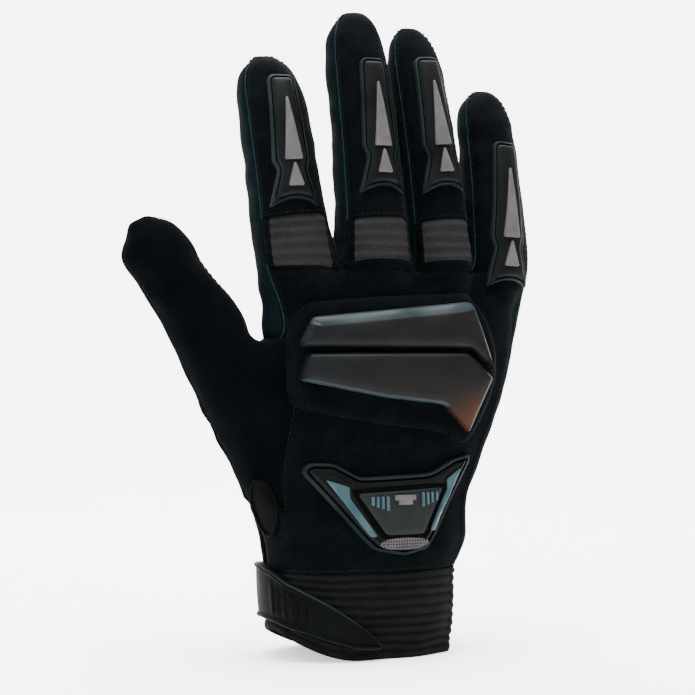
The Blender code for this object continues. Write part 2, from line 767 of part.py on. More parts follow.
# The knuckle pad and its two hard plates, thumb side first. across: share of PAD_WIDTH from the
# drawing's left edge. low, high: share of PAD_REACH above the drawing's lower edge.
PAD_WIDTH = 86 * MM
PAD_REACH = 58 * MM
PAD_LEFT = -34 * MM
PAD_LOW = 80 * MM
PAD_STATIONS = [
    Station(0.000, 0.29, 0.70, 0.5),
    Station(0.050, 0.25, 0.86, 1.0),
    Station(0.090, 0.23, 0.93, 1.0),
    Station(0.410, 0.14, 0.97, 1.0),
    Station(0.700, 0.09, 0.99, 1.0),
    Station(0.820, -0.02, 1.00, 1.0),
    Station(0.880, 0.08, 1.00, 1.0),
    Station(0.940, 0.22, 0.90, 1.0),
    Station(1.000, 0.42, 0.62, 0.5),
]
UPPER_PLATE_STATIONS = [
    Station(0.045, 0.643, 0.665, 0.5),
    Station(0.100, 0.643, 0.835, 1.0),
    Station(0.835, 0.633, 0.940, 1.0),
    Station(0.870, 0.590, 0.930, 1.0),
    Station(0.955, 0.480, 0.510, 0.5),
]
LOWER_PLATE_STATIONS = [
    Station(0.040, 0.425, 0.450, 0.5),
    Station(0.075, 0.415, 0.605, 1.0),
    Station(0.410, 0.315, 0.608, 1.0),
    Station(0.690, 0.265, 0.608, 1.0),
    Station(0.790, 0.120, 0.608, 1.0),
    Station(0.820, 0.075, 0.605, 1.0),
    Station(0.850, 0.160, 0.570, 1.0),
    Station(0.945, 0.425, 0.445, 0.5),
]
PLATE_PROFILE = [(0.0, 0.4), (0.12, 1.0), (0.5, 1.1), (0.88, 1.0), (1.0, 0.4)]

# The badge on the wrist, thumb side first. across: share of BADGE_WIDTH. low, high: share of
# BADGE_REACH.
BADGE_WIDTH = 69 * MM
BADGE_REACH = 38 * MM
BADGE_LEFT = -29.5 * MM
BADGE_LOW = 38.5 * MM
BADGE_STATIONS = [
    Station(0.000, 0.83, 0.89, 0.5),
    Station(0.045, 0.74, 0.94, 1.0),
    Station(0.165, 0.50, 0.93, 1.0),
    Station(0.310, 0.20, 0.79, 1.0),
    Station(0.385, 0.07, 0.79, 1.0),
    Station(0.560, 0.01, 0.80, 1.0),
    Station(0.705, 0.07, 0.81, 1.0),
    Station(0.755, 0.19, 0.83, 1.0),
    Station(0.885, 0.57, 0.95, 1.0),
    Station(1.000, 0.91, 0.99, 0.5),
]
BADGE_CORE = [(0.45, 0.22), (0.71, 0.22), (0.34, 0.63), (0.79, 0.64)]
BADGE_STRIPE_LEFT = [(0.385, 0.20), (0.405, 0.20), (0.185, 0.76), (0.300, 0.72)]
BADGE_STRIPE_RIGHT = [(0.740, 0.26), (0.760, 0.26), (0.825, 0.75), (0.920, 0.84)]
BADGE_TAB = [(0.515, 0.55), (0.605, 0.55), (0.505, 0.625), (0.615, 0.625)]
BADGE_OVAL = (0.560, 0.13, 0.27, 0.105)
BADGE_BARS = 4
BADGE_BAR_WIDTH = 1.1 * MM
BADGE_BAR_PITCH = 2.0 * MM
BADGE_BAR_LEFT = 0.385
BADGE_BAR_RIGHT = 0.735
BADGE_BAR_TOP = 0.61
BADGE_BAR_DROP = 0.035

# The strap, from its tip on the back round the thumb side to the palm. around: angle from
# the back. low: above the hem, high: above the hem's lowest level, share of CUFF_HEIGHT.
StrapStation = namedtuple("StrapStation", "around low high")
STRAP_STATIONS = [
    StrapStation(1, 0.04, 0.20),
    StrapStation(8, 0.03, 0.28),
    StrapStation(24, 0.03, 0.46),
    StrapStation(42, 0.03, 0.66),
    StrapStation(58, 0.03, 0.82),
    StrapStation(76, 0.03, 1.00),
    StrapStation(92, 0.03, 1.08),
    StrapStation(108, 0.03, 1.06),
    StrapStation(120, 0.05, 1.02),
    StrapStation(132, 0.08, 0.96),
    StrapStation(147, 0.11, 0.90),
    StrapStation(165, 0.14, 0.88),
    StrapStation(182, 0.18, 0.86),
]
STRAP_PROFILE = [(0.0, 0.4), (0.1, 1.0), (0.37, 1.0), (0.63, 1.0), (0.9, 1.0), (1.0, 0.4)]
ROOT_PATCH_PLACE = Vector((-40 * MM, -8 * MM, 57 * MM))
ROOT_PATCH_WIDTH = 13 * MM
ROOT_PATCH_REACH = 22 * MM
ROOT_PATCH_FACING = 58


def hem_binding(hem):
    """A flat band round the hem, just below the edge of the cuff's walls."""
    centre = sum(hem, Vector()) / len(hem)
    outer, inner = [], []
    for place, point in enumerate(hem):
        along = hem[(place + 1) % len(hem)] - hem[place - 1]
        out = along.cross(Vector((0, 0, 1))).normalized()
        if out.dot(point - centre) < 0:
            out.negate()
        beyond = (BINDING_THICKNESS - WALL) / 2
        top, bottom = -SEAM_GAP, -BINDING_HEIGHT
        outer.append([point + out * beyond + Vector((0, 0, z)) for z in (bottom, top)])
        inner.append([point - out * (beyond + WALL) + Vector((0, 0, z)) for z in (bottom, top)])
    return grid_solid(outer, inner, closed=True)


def strap_grid():
    """The closing strap: its lower edge keeps to the hem, its upper edge falls to the tip."""
    wrist = -HAND_SECTIONS[0].left * KNUCKLE_WIDTH
    grid = []
    for place, station in enumerate(STRAP_STATIONS):
        angle = math.radians(station.around)
        low = hem_height(-math.sin(angle) * wrist) + station.low * CUFF_HEIGHT
        high = station.high * CUFF_HEIGHT
        end = 0.6 if place in (0, len(STRAP_STATIONS) - 1) else 1.0
        grid.append([(angle, low + (high - low) * t, h * end) for t, h in STRAP_PROFILE])
    return grid


def main():
    clear_scene()
    knit = material("stretch_knit", (0.012, 0.014, 0.017), 0.85)
    suede = material("synthetic_suede", (0.010, 0.011, 0.012), 0.9)
    mesh_cloth = material("side_mesh", (0.012, 0.022, 0.024), 0.8)
    accordion = material("accordion_knit", (0.055, 0.052, 0.050), 0.8)
    elastic = material("ribbed_elastic", (0.016, 0.016, 0.014), 0.8)
    rubber = material("moulded_rubber", (0.020, 0.020, 0.019), 0.55)
    print_grey = material("reflective_grey", (0.18, 0.18, 0.18), 0.5)
    print_dark = material("raised_print", (0.045, 0.046, 0.045), 0.5)
    shell = material("knuckle_shell", (0.016, 0.014, 0.012), 0.35)
    stripe = material("badge_stripe", (0.13, 0.22, 0.24), 0.45)

    skin, hand, fingers = build_skin()
    bm, names = skin_mesh(skin)
    surface = [smooth_copy(bm), tree_of(bm)]
    bm.verts.ensure_lookup_table()

    finishes = {"palm": suede, "thumb_back": suede, "thumb_palm": suede, "cuff_palm": elastic}
    for number, name in enumerate(names):
        if name.startswith("stretch_") or name == "cuff_back":
            continue
        finish = finishes.get(name, mesh_cloth if "side" in name or "fourchette" in name else knit)
        add_object(name, panel_solid(bm, number), finish)

    for k, finger in enumerate(FINGERS):
        if finger.stretch:
            name = f"stretch_{finger.name}"
            rings = [ring[: COLUMNS + 1] for ring in fingers[k][:2]]
            solid = ribbed_panel(bm, names.index(name), rings, STRETCH_RIBS, STRETCH_RIB_HEIGHT)
            add_object(name, solid, accordion)
    rings = [ring[:BACK_COUNT] for ring in hand[: CUFF_ROWS + 1]]
    solid = ribbed_panel(bm, names.index("cuff_back"), rings, CUFF_RIBS, CUFF_RIB_HEIGHT)
    add_object("cuff_back", solid, elastic)

    for finger in FINGERS:
        plane = guard_plane(finger)
        solid = lay_solid(surface, plane, guard_grid(finger), LAY_GAP, LAY_GAP + GUARD_HEIGHT)
        tree = tree_of(solid)
        add_object(f"guard_{finger.name}", solid, rubber)
        for label, (top, bottom, half) in (("long", LONG_INLAY), ("short", SHORT_INLAY)):
            grid = wedge_grid(GUARDS[finger.name].long, top, bottom, half * GUARD_WIDTH)
            inlay = lay_solid([tree], plane, grid, LAY_GAP, LAY_GAP + INLAY_HEIGHT)
            add_object(f"inlay_{label}_{finger.name}", inlay, print_grey)

    pad_plane = Plane(Vector((PAD_LEFT, 0, PAD_LOW)), Vector((1, 0, 0)), Vector((0, 0, 1)))
    grid = station_grid(scaled(PAD_STATIONS, PAD_WIDTH, PAD_REACH), SLAB_PROFILE)
    pad = lay_solid(surface, pad_plane, grid, LAY_GAP, LAY_GAP + PAD_HEIGHT)
    tree = tree_of(pad)
    add_object("knuckle_pad", pad, knit)
    for name, stations in (("upper", UPPER_PLATE_STATIONS), ("lower", LOWER_PLATE_STATIONS)):
        grid = station_grid(scaled(stations, PAD_WIDTH, PAD_REACH), PLATE_PROFILE)
        plate = lay_solid([tree], pad_plane, grid, LAY_GAP, LAY_GAP + PLATE_HEIGHT)
        add_object(f"knuckle_plate_{name}", plate, shell)

    badge_plane = Plane(Vector((BADGE_LEFT, 0, BADGE_LOW)), Vector((1, 0, 0)), Vector((0, 0, 1)))
    grid = station_grid(scaled(BADGE_STATIONS, BADGE_WIDTH, BADGE_REACH), SLAB_PROFILE)
    badge = lay_solid(surface, badge_plane, grid, LAY_GAP, LAY_GAP + BADGE_HEIGHT)
    badge_tree = tree_of(badge)
    add_object("badge_base", badge, rubber)

    def badge_trim(name, grid, tree, finish):
        trim = lay_solid([tree], badge_plane, grid, LAY_GAP, LAY_GAP + BADGE_TRIM_HEIGHT)
        trim_tree = tree_of(trim)
        add_object(name, trim, finish)
        return trim_tree

    def badge_corners(shares):
        return [(u * BADGE_WIDTH, v * BADGE_REACH) for u, v in shares]

    core = badge_trim("badge_core", corner_grid(badge_corners(BADGE_CORE), 3, 5), badge_tree, print_dark)
    for name, shares in (("left", BADGE_STRIPE_LEFT), ("right", BADGE_STRIPE_RIGHT)):
        badge_trim(f"badge_stripe_{name}", corner_grid(badge_corners(shares), 3, 2), badge_tree, stripe)
    badge_trim("badge_tab", corner_grid(badge_corners(BADGE_TAB)), core, print_grey)
    u, v, width, height = BADGE_OVAL
    oval = oval_grid(
        u * BADGE_WIDTH, v * BADGE_REACH, width * BADGE_WIDTH, height * BADGE_REACH, 8, PATCH_PROFILE
    )
    badge_trim("badge_oval", oval, badge_tree, print_grey)
    for side, start in (("left", BADGE_BAR_LEFT), ("right", BADGE_BAR_RIGHT)):
        inwards = 1 if side == "left" else -1
        for bar in range(BADGE_BARS):
            u = start * BADGE_WIDTH + inwards * bar * BADGE_BAR_PITCH
            top = BADGE_BAR_TOP * BADGE_REACH
            bottom = top - (1.5 + bar) * BADGE_BAR_DROP * BADGE_REACH
            half = BADGE_BAR_WIDTH / 2
            corners = [(u - half, bottom), (u + half, bottom), (u - half, top), (u + half, top)]
            badge_trim(f"badge_bar_{side}_{bar + 1}", corner_grid(corners, 1, 1), core, print_grey)

    facing = math.radians(ROOT_PATCH_FACING)
    across = Vector((math.cos(facing), -math.sin(facing), 0))
    patch_plane = Plane(ROOT_PATCH_PLACE, across, Vector((0, 0, 1)))
    oval = oval_grid(0, 0, ROOT_PATCH_WIDTH, ROOT_PATCH_REACH, 8, SLAB_PROFILE)
    patch = lay_solid(surface, patch_plane, oval, LAY_GAP, LAY_GAP + ROOT_PATCH_HEIGHT)
    add_object("thumb_root_patch", patch, rubber)

    hem = [bm.verts[i].co.copy() for i in hand[0]]
    add_object("cuff_binding", hem_binding(hem), elastic)
    cuff = bmesh.new()
    cuff.from_mesh(bpy.data.objects["cuff_back"].data)
    cuff.from_mesh(bpy.data.objects["cuff_palm"].data)
    strap = lay_solid([tree_of(cuff), *surface], Wrap(), strap_grid(), STRAP_LIFT, STRAP_LIFT + STRAP_THICKNESS)
    add_object("wrist_strap", strap, elastic)
    cuff.free()
    bm.free()


main()
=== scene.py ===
"""Looks of the riding glove: its cloth panels, moulded guards, plates, badge, cuff and strap.

Frame as in the part: +Z from the hem to the fingertips, -Y the back of the hand, -X the thumb
side, metres.
"""

import math
from collections import namedtuple
from functools import partial

import bmesh
import bpy
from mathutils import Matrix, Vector, noise
from mathutils.bvhtree import BVHTree
from mathutils.geometry import delaunay_2d_cdt
from mathutils.kdtree import KDTree


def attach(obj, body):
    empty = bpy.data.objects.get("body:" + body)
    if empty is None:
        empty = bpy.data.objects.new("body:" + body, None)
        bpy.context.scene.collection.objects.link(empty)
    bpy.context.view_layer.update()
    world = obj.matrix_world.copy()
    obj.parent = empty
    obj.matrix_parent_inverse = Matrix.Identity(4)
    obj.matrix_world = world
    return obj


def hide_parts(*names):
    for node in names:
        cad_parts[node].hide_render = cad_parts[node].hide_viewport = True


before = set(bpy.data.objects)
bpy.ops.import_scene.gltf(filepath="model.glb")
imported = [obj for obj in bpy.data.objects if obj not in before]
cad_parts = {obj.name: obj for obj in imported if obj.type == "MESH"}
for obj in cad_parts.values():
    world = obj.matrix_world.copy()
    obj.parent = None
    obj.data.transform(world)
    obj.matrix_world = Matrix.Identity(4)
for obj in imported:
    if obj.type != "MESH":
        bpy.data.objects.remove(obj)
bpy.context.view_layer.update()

MM = 0.001

# Sizes of the sewn glove, as in the part
HAND_HEIGHT = 147 * MM
KNUCKLE_WIDTH = 104 * MM
HAND_DEPTH = 46 * MM
CUFF_HEIGHT = 33 * MM
HEM_RISE = 11 * MM
HEM_LEVEL_SHARE = 0.2
BINDING_HEIGHT = 3.2 * MM
WALL = 1.6 * MM
LAY_GAP = 0.35 * MM
CUFF_RIBS = 9
CUFF_RIB_HEIGHT = 0.9 * MM
STRETCH_RIBS = 5
STRETCH_RIB_HEIGHT = 0.4 * MM
STRETCH_HEIGHT = 19.5 * MM
PAD_HEIGHT = 4.0 * MM
STRAP_LIFT = 0.6 * MM

# Sections of the hand, hem first. left, right: edge from the wrist's axis, share of
# KNUCKLE_WIDTH. back, palm: depth from the wrist's axis, share of HAND_DEPTH. level: share of
# the cuff's height up to the seam (zone 0), then share of the rest up to the finger bases.
# arch: how far the section follows the finger bases.
HandSection = namedtuple("HandSection", "zone level left right back palm arch")
HAND_SECTIONS = [HandSection(*row) for row in (
    (0, 0.00, -0.352, 0.350, 0.480, 0.490, 0.0),
    (0, 0.50, -0.362, 0.366, 0.515, 0.500, 0.0),
    (0, 1.00, -0.366, 0.376, 0.490, 0.490, 0.0),
    (1, 0.09, -0.372, 0.425, 0.480, 0.500, 0.0),
    (1, 0.21, -0.422, 0.432, 0.450, 0.530, 0.0),
    (1, 0.34, -0.435, 0.490, 0.435, 0.545, 0.0),
    (1, 0.48, -0.412, 0.552, 0.425, 0.530, 0.0),
    (1, 0.61, -0.390, 0.606, 0.410, 0.480, 0.05),
    (1, 0.77, -0.378, 0.644, 0.390, 0.420, 0.20),
    (1, 0.89, -0.384, 0.680, 0.360, 0.370, 0.60),
)]
CUFF_ROWS = 2
THUMB_ROW_LOW = 4
THUMB_ROW_HIGH = 8

# Fingers, thumb side first. All lengths in metres: place of the base, length from the base to
# the tip, width and depth at the middle joint, sideways lean and curl to the palm at the tip.
Finger = namedtuple("Finger", "name x y length width depth lean curl stretch")
FINGERS = [Finger(*row) for row in (
    ("index", -26.0 * MM, 0.5 * MM, 81 * MM, 28.0 * MM, 25.0 * MM, -9.0 * MM, 11 * MM, True),
    ("middle", 5.8 * MM, -2.0 * MM, 100 * MM, 26.4 * MM, 24.6 * MM, -5.0 * MM, 12 * MM, True),
    ("ring", 34.4 * MM, -0.6 * MM, 96.5 * MM, 24.0 * MM, 23.0 * MM, -8.6 * MM, 13 * MM, True),
    ("little", 60.6 * MM, 2.6 * MM, 72.5 * MM, 24.2 * MM, 21.4 * MM, -2.0 * MM, 11 * MM, False),
)]

# Sections of every finger above its first knuckle. along: share of the length above the
# stretch panel. width, depth: share of the finger's own.
FingerSection = namedtuple("FingerSection", "along width depth")
FINGER_SECTIONS = [FingerSection(*row) for row in (
    (0.00, 1.06, 1.06),
    (0.17, 1.03, 1.04),
    (0.34, 1.00, 1.00),
    (0.50, 0.98, 0.96),
    (0.66, 0.95, 0.91),
    (0.79, 0.90, 0.84),
    (0.90, 0.76, 0.70),
    (0.965, 0.52, 0.48),
)]
FINGER_BASE_WIDTH = 1.10
FINGER_BASE_DEPTH = 1.14
SEAM_ANGLE = 28
CROTCH_RISE = 10 * MM
PALM_BASE_RISE = 8 * MM
TIP_DOME = 0.45
TIP_PITCH = 3 * MM

# Sections of the thumb, from the web with the hand. along: share of its length. sway: offset
# away from the index finger, share of its length. turn: 0 lies in the hand's side, 1 squarely
# across the thumb. width, depth: share of the thumb's own.
THUMB_ROOT = Vector((-40 * MM, 3 * MM, 84 * MM))
THUMB_LENGTH = 91.5 * MM
THUMB_WIDTH = 27 * MM
THUMB_DEPTH = 26 * MM
THUMB_ANGLE = 30
THUMB_FORWARD = 8 * MM
ThumbSection = namedtuple("ThumbSection", "along sway turn width depth")
THUMB_SECTIONS = [ThumbSection(*row) for row in (
    (0.22, -0.016, 0.27, 1.54, 1.30),
    (0.385, -0.030, 0.47, 1.34, 1.20),
    (0.575, -0.034, 0.85, 1.03, 1.08),
    (0.735, -0.026, 1.00, 0.93, 1.00),
    (0.85, -0.016, 1.00, 0.95, 0.92),
    (0.93, -0.018, 1.00, 0.78, 0.76),
    (0.97, -0.020, 1.00, 0.54, 0.52),
)]

# Making of the mesh. SHARP_EDGE: degrees. ROOM_SHARE: how far in an outline may be eased or stepped.
RAY_REACH = 90 * MM
SHARP_EDGE = 42
ROOM_SHARE = 0.45
COLUMNS = 4
BACK_COUNT = COLUMNS * len(FINGERS) + 1
RING_COUNT = 2 * BACK_COUNT + 2
RIGHT_MID = BACK_COUNT
LEFT_MID = RING_COUNT - 1
SIDE_SHARE = 0.90
SECTION_POWER = 2.5

Station = namedtuple("Station", "across low high")
Step = namedtuple("Step", "inset height mark")


def profile(*rows):
    """Steps in from a moulded piece's outline: inset and height in mm, and the finish's number."""
    return [Step(inset * MM, height * MM, mark) for inset, height, mark in rows]


GUARD_PROFILE = profile((0, -1.0, 0), (0, 0.9, 2), (0.3, 1.3, 2), (0.8, 1.3, 2), (1.0, 0.8, 1), (1.4, 0.8, 1),
                        (1.7, 1.9, 2), (2.1, 2.2, 0), (2.7, 2.4, 0))
INLAY_PROFILE = profile((0, -0.3, 0), (0, 0.45, 0), (0.25, 0.7, 0), (0.5, 0.8, 0))
PAD_PROFILE = profile((0, -1.0, 0), (0, 0.6, 0), (0.4, 1.6, 0), (1.2, 2.6, 0), (2.4, 3.2, 0))
PLATE_PROFILE = profile((0, -3.2, 0), (0, 1.0, 0), (0.5, 1.9, 1), (1.4, 2.6, 1), (2.3, 3.1, 1), (2.9, 3.3, 0))
BADGE_PROFILE = profile((0, -1.0, 0), (0, 1.3, 2), (0.4, 1.9, 2), (1.1, 1.9, 2), (1.4, 1.1, 1), (2.0, 1.1, 1),
                        (2.3, 2.3, 2), (2.9, 2.6, 0), (3.5, 2.6, 0), (3.9, 2.1, 0))
# The thin dark sheet of painted shadow round the badge's core plate.
PAINTED_SHADOW_PROFILE = profile((0, -0.3, 0), (0, 0.15, 0), (0.3, 0.3, 0))
TRIM_PROFILE = profile((0, -0.3, 0), (0, 0.5, 0), (0.3, 0.8, 0), (0.6, 0.9, 0))
STRAP_PROFILE = profile((0, -1.9, 0), (0, 0.9, 0), (0.4, 1.5, 1), (1.0, 1.7, 0), (1.6, 1.5, 0), (2.0, 0.9, 0),
                        (2.6, 0.9, 0))
ROOT_PATCH_PROFILE = profile((0, -1.0, 0), (0, 1.0, 0), (0.4, 1.7, 1), (1.0, 1.7, 0), (1.4, 1.0, 0),
                             (1.9, 0.9, 0))

# A guard's outline, fingertip end first. along: share of the guard's length. half: half
# width, share of the guard's width. The last row is the hollowed lower edge.
GuardSection = namedtuple("GuardSection", "along half")
GUARD_SECTIONS = [GuardSection(*row) for row in (
    (0.00, 0.22),
    (0.035, 0.30),
    (0.33, 0.345),
    (0.66, 0.39),
    (0.73, 0.31),
    (0.88, 0.42),
    (1.00, 0.50),
)]

# The guard of each finger. low: its lower edge above the finger's base. long: its length.
# top_shift, low_shift: how far its ends lie to the little finger's side of the finger's middle.
Guard = namedtuple("Guard", "low long top_shift low_shift")
GUARDS = {
    "index": Guard(20.0 * MM, 51.5 * MM, 1.6 * MM, -1.6 * MM),
    "middle": Guard(26.5 * MM, 53.0 * MM, 2.0 * MM, 0.6 * MM),
    "ring": Guard(27.3 * MM, 54.5 * MM, 1.3 * MM, 0.5 * MM),
    "little": Guard(-8.0 * MM, 58.5 * MM, 3.0 * MM, -0.6 * MM),
}
GUARD_WIDTH = 18.5 * MM
GUARD_NOTCH = 3.0 * MM
# An inlay's top and bottom, share of the guard's length, and half its width, share of GUARD_WIDTH.
LONG_INLAY = (0.19, 0.665, 0.19)
SHORT_INLAY = (0.69, 0.86, 0.165)
INLAY_POINT = 0.12

# The knuckle pad and its two hard plates, thumb side first. across: share of PAD_WIDTH from the
# drawing's left edge. low, high: share of PAD_REACH above the drawing's lower edge.
PAD_WIDTH = 86 * MM
PAD_REACH = 58 * MM
PAD_LEFT = -34 * MM
PAD_LOW = 80 * MM
PAD_STATIONS = [Station(*row) for row in (
    (0.000, 0.29, 0.70),
    (0.050, 0.25, 0.86),
    (0.090, 0.23, 0.93),
    (0.410, 0.14, 0.97),
    (0.700, 0.09, 0.99),
    (0.820, -0.02, 1.00),
    (0.880, 0.08, 1.00),
    (0.940, 0.22, 0.90),
    (1.000, 0.42, 0.62),
)]
UPPER_PLATE_STATIONS = [Station(*row) for row in (
    (0.045, 0.643, 0.665),
    (0.100, 0.643, 0.835),
    (0.835, 0.633, 0.940),
    (0.870, 0.590, 0.930),
    (0.955, 0.480, 0.510),
)]
LOWER_PLATE_STATIONS = [Station(*row) for row in (
    (0.040, 0.425, 0.450),
    (0.075, 0.415, 0.605),
    (0.410, 0.315, 0.608),
    (0.690, 0.265, 0.608),
    (0.790, 0.120, 0.608),
    (0.820, 0.075, 0.605),
    (0.850, 0.160, 0.570),
    (0.945, 0.425, 0.445),
)]

# The badge on the wrist, thumb side first. across: share of BADGE_WIDTH. low, high: share of
# BADGE_REACH.
BADGE_WIDTH = 69 * MM
BADGE_REACH = 38 * MM
BADGE_LEFT = -29.5 * MM
BADGE_LOW = 38.5 * MM
BADGE_STATIONS = [Station(*row) for row in (
    (0.000, 0.83, 0.89),
    (0.045, 0.74, 0.94),
    (0.165, 0.50, 0.93),
    (0.310, 0.20, 0.79),
    (0.385, 0.07, 0.79),
    (0.560, 0.01, 0.80),
    (0.705, 0.07, 0.81),
    (0.755, 0.19, 0.83),
    (0.885, 0.57, 0.95),
    (1.000, 0.91, 0.99),
)]
BADGE_CORE = [(0.45, 0.22), (0.675, 0.22), (0.805, 0.67), (0.29, 0.63)]
BADGE_STRIPE_LEFT = [(0.356, 0.205), (0.396, 0.215), (0.246, 0.585), (0.242, 0.70), (0.112, 0.775)]
BADGE_STRIPE_RIGHT = [(0.714, 0.248), (0.756, 0.245), (0.925, 0.855), (0.832, 0.745), (0.836, 0.65)]
# The outline of the painted shadow round the core plate.
BADGE_PAINTED_SHADOW = [(0.42, 0.19), (0.700, 0.19), (0.835, 0.71), (0.252, 0.67)]
BADGE_TAB = [(0.520, 0.515), (0.605, 0.515), (0.605, 0.56), (0.625, 0.56), (0.625, 0.61), (0.500, 0.61),
             (0.500, 0.56), (0.520, 0.56)]
BADGE_OVAL = (0.560, 0.13, 0.30, 0.125)
BADGE_BARS = 4
BADGE_BAR_WIDTH = 1.1 * MM
BADGE_BAR_PITCH = 2.0 * MM
BADGE_BAR_LEFT = 0.370
BADGE_BAR_RIGHT = 0.758
BADGE_BAR_TOP = {"left": 0.60, "right": 0.63}
BADGE_BAR_LENGTH = 0.085
BADGE_BAR_GROWTH = 0.018

# The strap, from its tip on the back round the thumb side to the palm. around: angle from
# the back. low: above the hem, high: above the hem's lowest level, share of CUFF_HEIGHT.
StrapStation = namedtuple("StrapStation", "around low high")
STRAP_STATIONS = [StrapStation(*row) for row in (
    (1, 0.04, 0.20),
    (8, 0.03, 0.28),
    (24, 0.03, 0.46),
    (42, 0.03, 0.66),
    (58, 0.03, 0.82),
    (76, 0.03, 1.00),
    (92, 0.03, 1.08),
    (108, 0.03, 1.06),
    (120, 0.05, 1.02),
    (132, 0.08, 0.96),
    (147, 0.11, 0.90),
    (165, 0.14, 0.88),
    (182, 0.18, 0.86),
)]

# The oval pad at the thumb's root faces ROOT_PATCH_FACING degrees round. The hem's folded tape.
# WRAP_RADIUS: the strap's drawing is rolled up at this radius.
ROOT_PATCH_PLACE = Vector((-40 * MM, -8 * MM, 57 * MM))
ROOT_PATCH_WIDTH = 13 * MM
ROOT_PATCH_REACH = 22 * MM
ROOT_PATCH_FACING = 58
BINDING_THICKNESS = 2.4 * MM
BINDING_SIDES = 12
BINDING_ROUNDNESS = 0.6
WRAP_RADIUS = 36 * MM

# The cloth: how finely the skin is cut, how far it sinks at its seams and folds between them, its
# ribs, the plain borders of the stretch panels, and the swell of the pad and its plates
SKIN_LEVELS = 3
FIT_ROUNDS = 3
FIT_STEP = 0.9
SEAM_REACH = 2.4 * MM
SEAM_DEPTH = 1.0 * MM
FOLD_SIZE = 13 * MM
FOLD_FLATNESS = 1.6
FOLD_PALM = 1.0 * MM
FOLD_BACK = 0.5 * MM
RIB_WOBBLE_SIZE = 14 * MM
RIB_WOBBLE = 0.22
RIB_ROUNDNESS = 0.7
RIB_SINK = 0.35
RIB_CUTS = 2
STRETCH_SIDES = 0.12
STRETCH_FOOT = {"stretch_index": 0.04, "stretch_middle": 0.20, "stretch_ring": 0.20}
PAD_QUILT_PITCH = 15 * MM
PAD_QUILT_UP = 0.94
PAD_QUILT_ACROSS = 0.28
PAD_QUILT_HEIGHT = 0.35 * MM
PAD_CROWN = 0.6 * MM
PLATE_CROWN = 0.5 * MM
PLATE_WIDE_BEVEL = 1.6
PLATE_NARROW_BEVEL = 0.5
PLATE_SPAN = 7 * MM
BRIDGE = (-1.0, -0.5, 0.0, 0.5, 1.0)
# The strap's corrugated stretch: degrees from the back and half its width, then its bars
STRAP_CORRUGATED = 66
STRAP_CORRUGATED_HALF = 13
STRAP_BAR_PITCH = 3.1 * MM
STRAP_BAR_HEIGHT = 0.6 * MM
STRAP_BAR_FADE = 2 * MM

# Rows of stitches, in millimetres. offset: from the seam into the panel. lift: off the cloth.
# pitch: from stitch to stitch. length: half a stitch's length.
Seam = namedtuple("Seam", "offset lift pitch length radius")
BACK_SEAM = Seam(1.4, 0.02, 2.4, 0.8, 0.2)
PALM_SEAM = Seam(1.5, 0.02, 2.6, 0.85, 0.2)
STRETCH_SEAM = Seam(1.3, 0.05, 2.0, 0.75, 0.24)
PIPING = Seam(0.5, 0.3, 0.7, 0.6, 0.32)
CUFF_SEAM = Seam(1.2, 0.15, 2.0, 0.75, 0.28)

# The photograph's view. CAMERA_AZIMUTH: degrees. CAMERA_LENS: millimetres. The rest: metres
CAMERA_AZIMUTH = -22
CAMERA_AWAY = 0.7
CAMERA_LENS = 94
CAMERA_SHIFT = -4 * MM
CAMERA_LEVEL = 117 * MM
GLOVE_MIDDLE = 0.12
WORLD_LIGHT = 0.6
BACKDROP_STEPS = 16

# Lights, in metres from the glove's middle. ahead: to the camera. aside: to its right.
# aim_behind: how far behind the middle the light aims. size: side of the square.
Light = namedtuple("Light", "name ahead aside up aim_behind size watts")
LIGHTS = [Light(*row) for row in (
    ("key_light", 0.7, -0.5, 0.75, 0, 0.7, 6),
    ("fill_light", 0.9, 0.8, 0.25, 0, 0.9, 1.5),
    ("edge_light", -0.35, -0.7, 0.3, 0, 0.5, 3.5),
    ("backdrop_light", -0.1, 0, 1.3, 0.9, 1.2, 110),
)]


def palm_column(i):
    """Ring column of palm point i, which lies under back point i."""
    return 2 * BACK_COUNT - i


def hem_height(x):
    """The hem rises towards the thumb side of the wrist."""
    edge = -HAND_SECTIONS[0].left * KNUCKLE_WIDTH
    share = min(1.0, max(0.0, (-x / edge - HEM_LEVEL_SHARE) / (1 - HEM_LEVEL_SHARE)))
    return BINDING_HEIGHT + HEM_RISE * share * share


def finger_angle(i):
    """Angle of a finger's ring point: back corner to corner, side, palm, side."""
    back = [180 - SEAM_ANGLE - (180 - 2 * SEAM_ANGLE) * j / COLUMNS for j in range(COLUMNS + 1)]
    turns = back + [0.0] + [-a for a in reversed(back)] + [180.0]
    return math.radians(turns[i])


FINGER_RING = 2 * COLUMNS + 4


def finger_axis(finger, rise):
    """Point and direction of a finger's axis at a height above its base."""
    share = rise / finger.length
    bend = finger.curl * share * share
    point = Vector((finger.x + finger.lean * share, finger.y + bend, HAND_HEIGHT + rise))
    slope = Vector((finger.lean / finger.length, 2 * finger.curl * share / finger.length, 1.0))
    return point, slope.normalized()


def finger_frame(finger, rise):
    """Axis point, sideways direction and back direction of a finger's section."""
    point, along = finger_axis(finger, rise)
    side = (Vector((1, 0, 0)) - along * along.x).normalized()
    return point, side, side.cross(along)


def finger_ring(finger, rise, width, depth):
    point, side, back = finger_frame(finger, rise)
    ring = []
    for i in range(FINGER_RING):
        angle = finger_angle(i)
        ring.append(point + side * (math.cos(angle) * width / 2) + back * (math.sin(angle) * depth / 2))
    return ring


def base_point(k, j, is_back):
    """A point of finger k's base on the back or palm edge, j columns from the thumb side."""
    finger = FINGERS[k]
    angle = finger_angle(j)
    width, depth = finger.width * FINGER_BASE_WIDTH, finger.depth * FINGER_BASE_DEPTH
    x = finger.x + math.cos(angle) * width / 2
    y = math.sin(angle) * depth / 2
    if is_back:
        return Vector((x, finger.y - y, HAND_HEIGHT))
    return Vector((x, finger.y + y, HAND_HEIGHT + PALM_BASE_RISE))


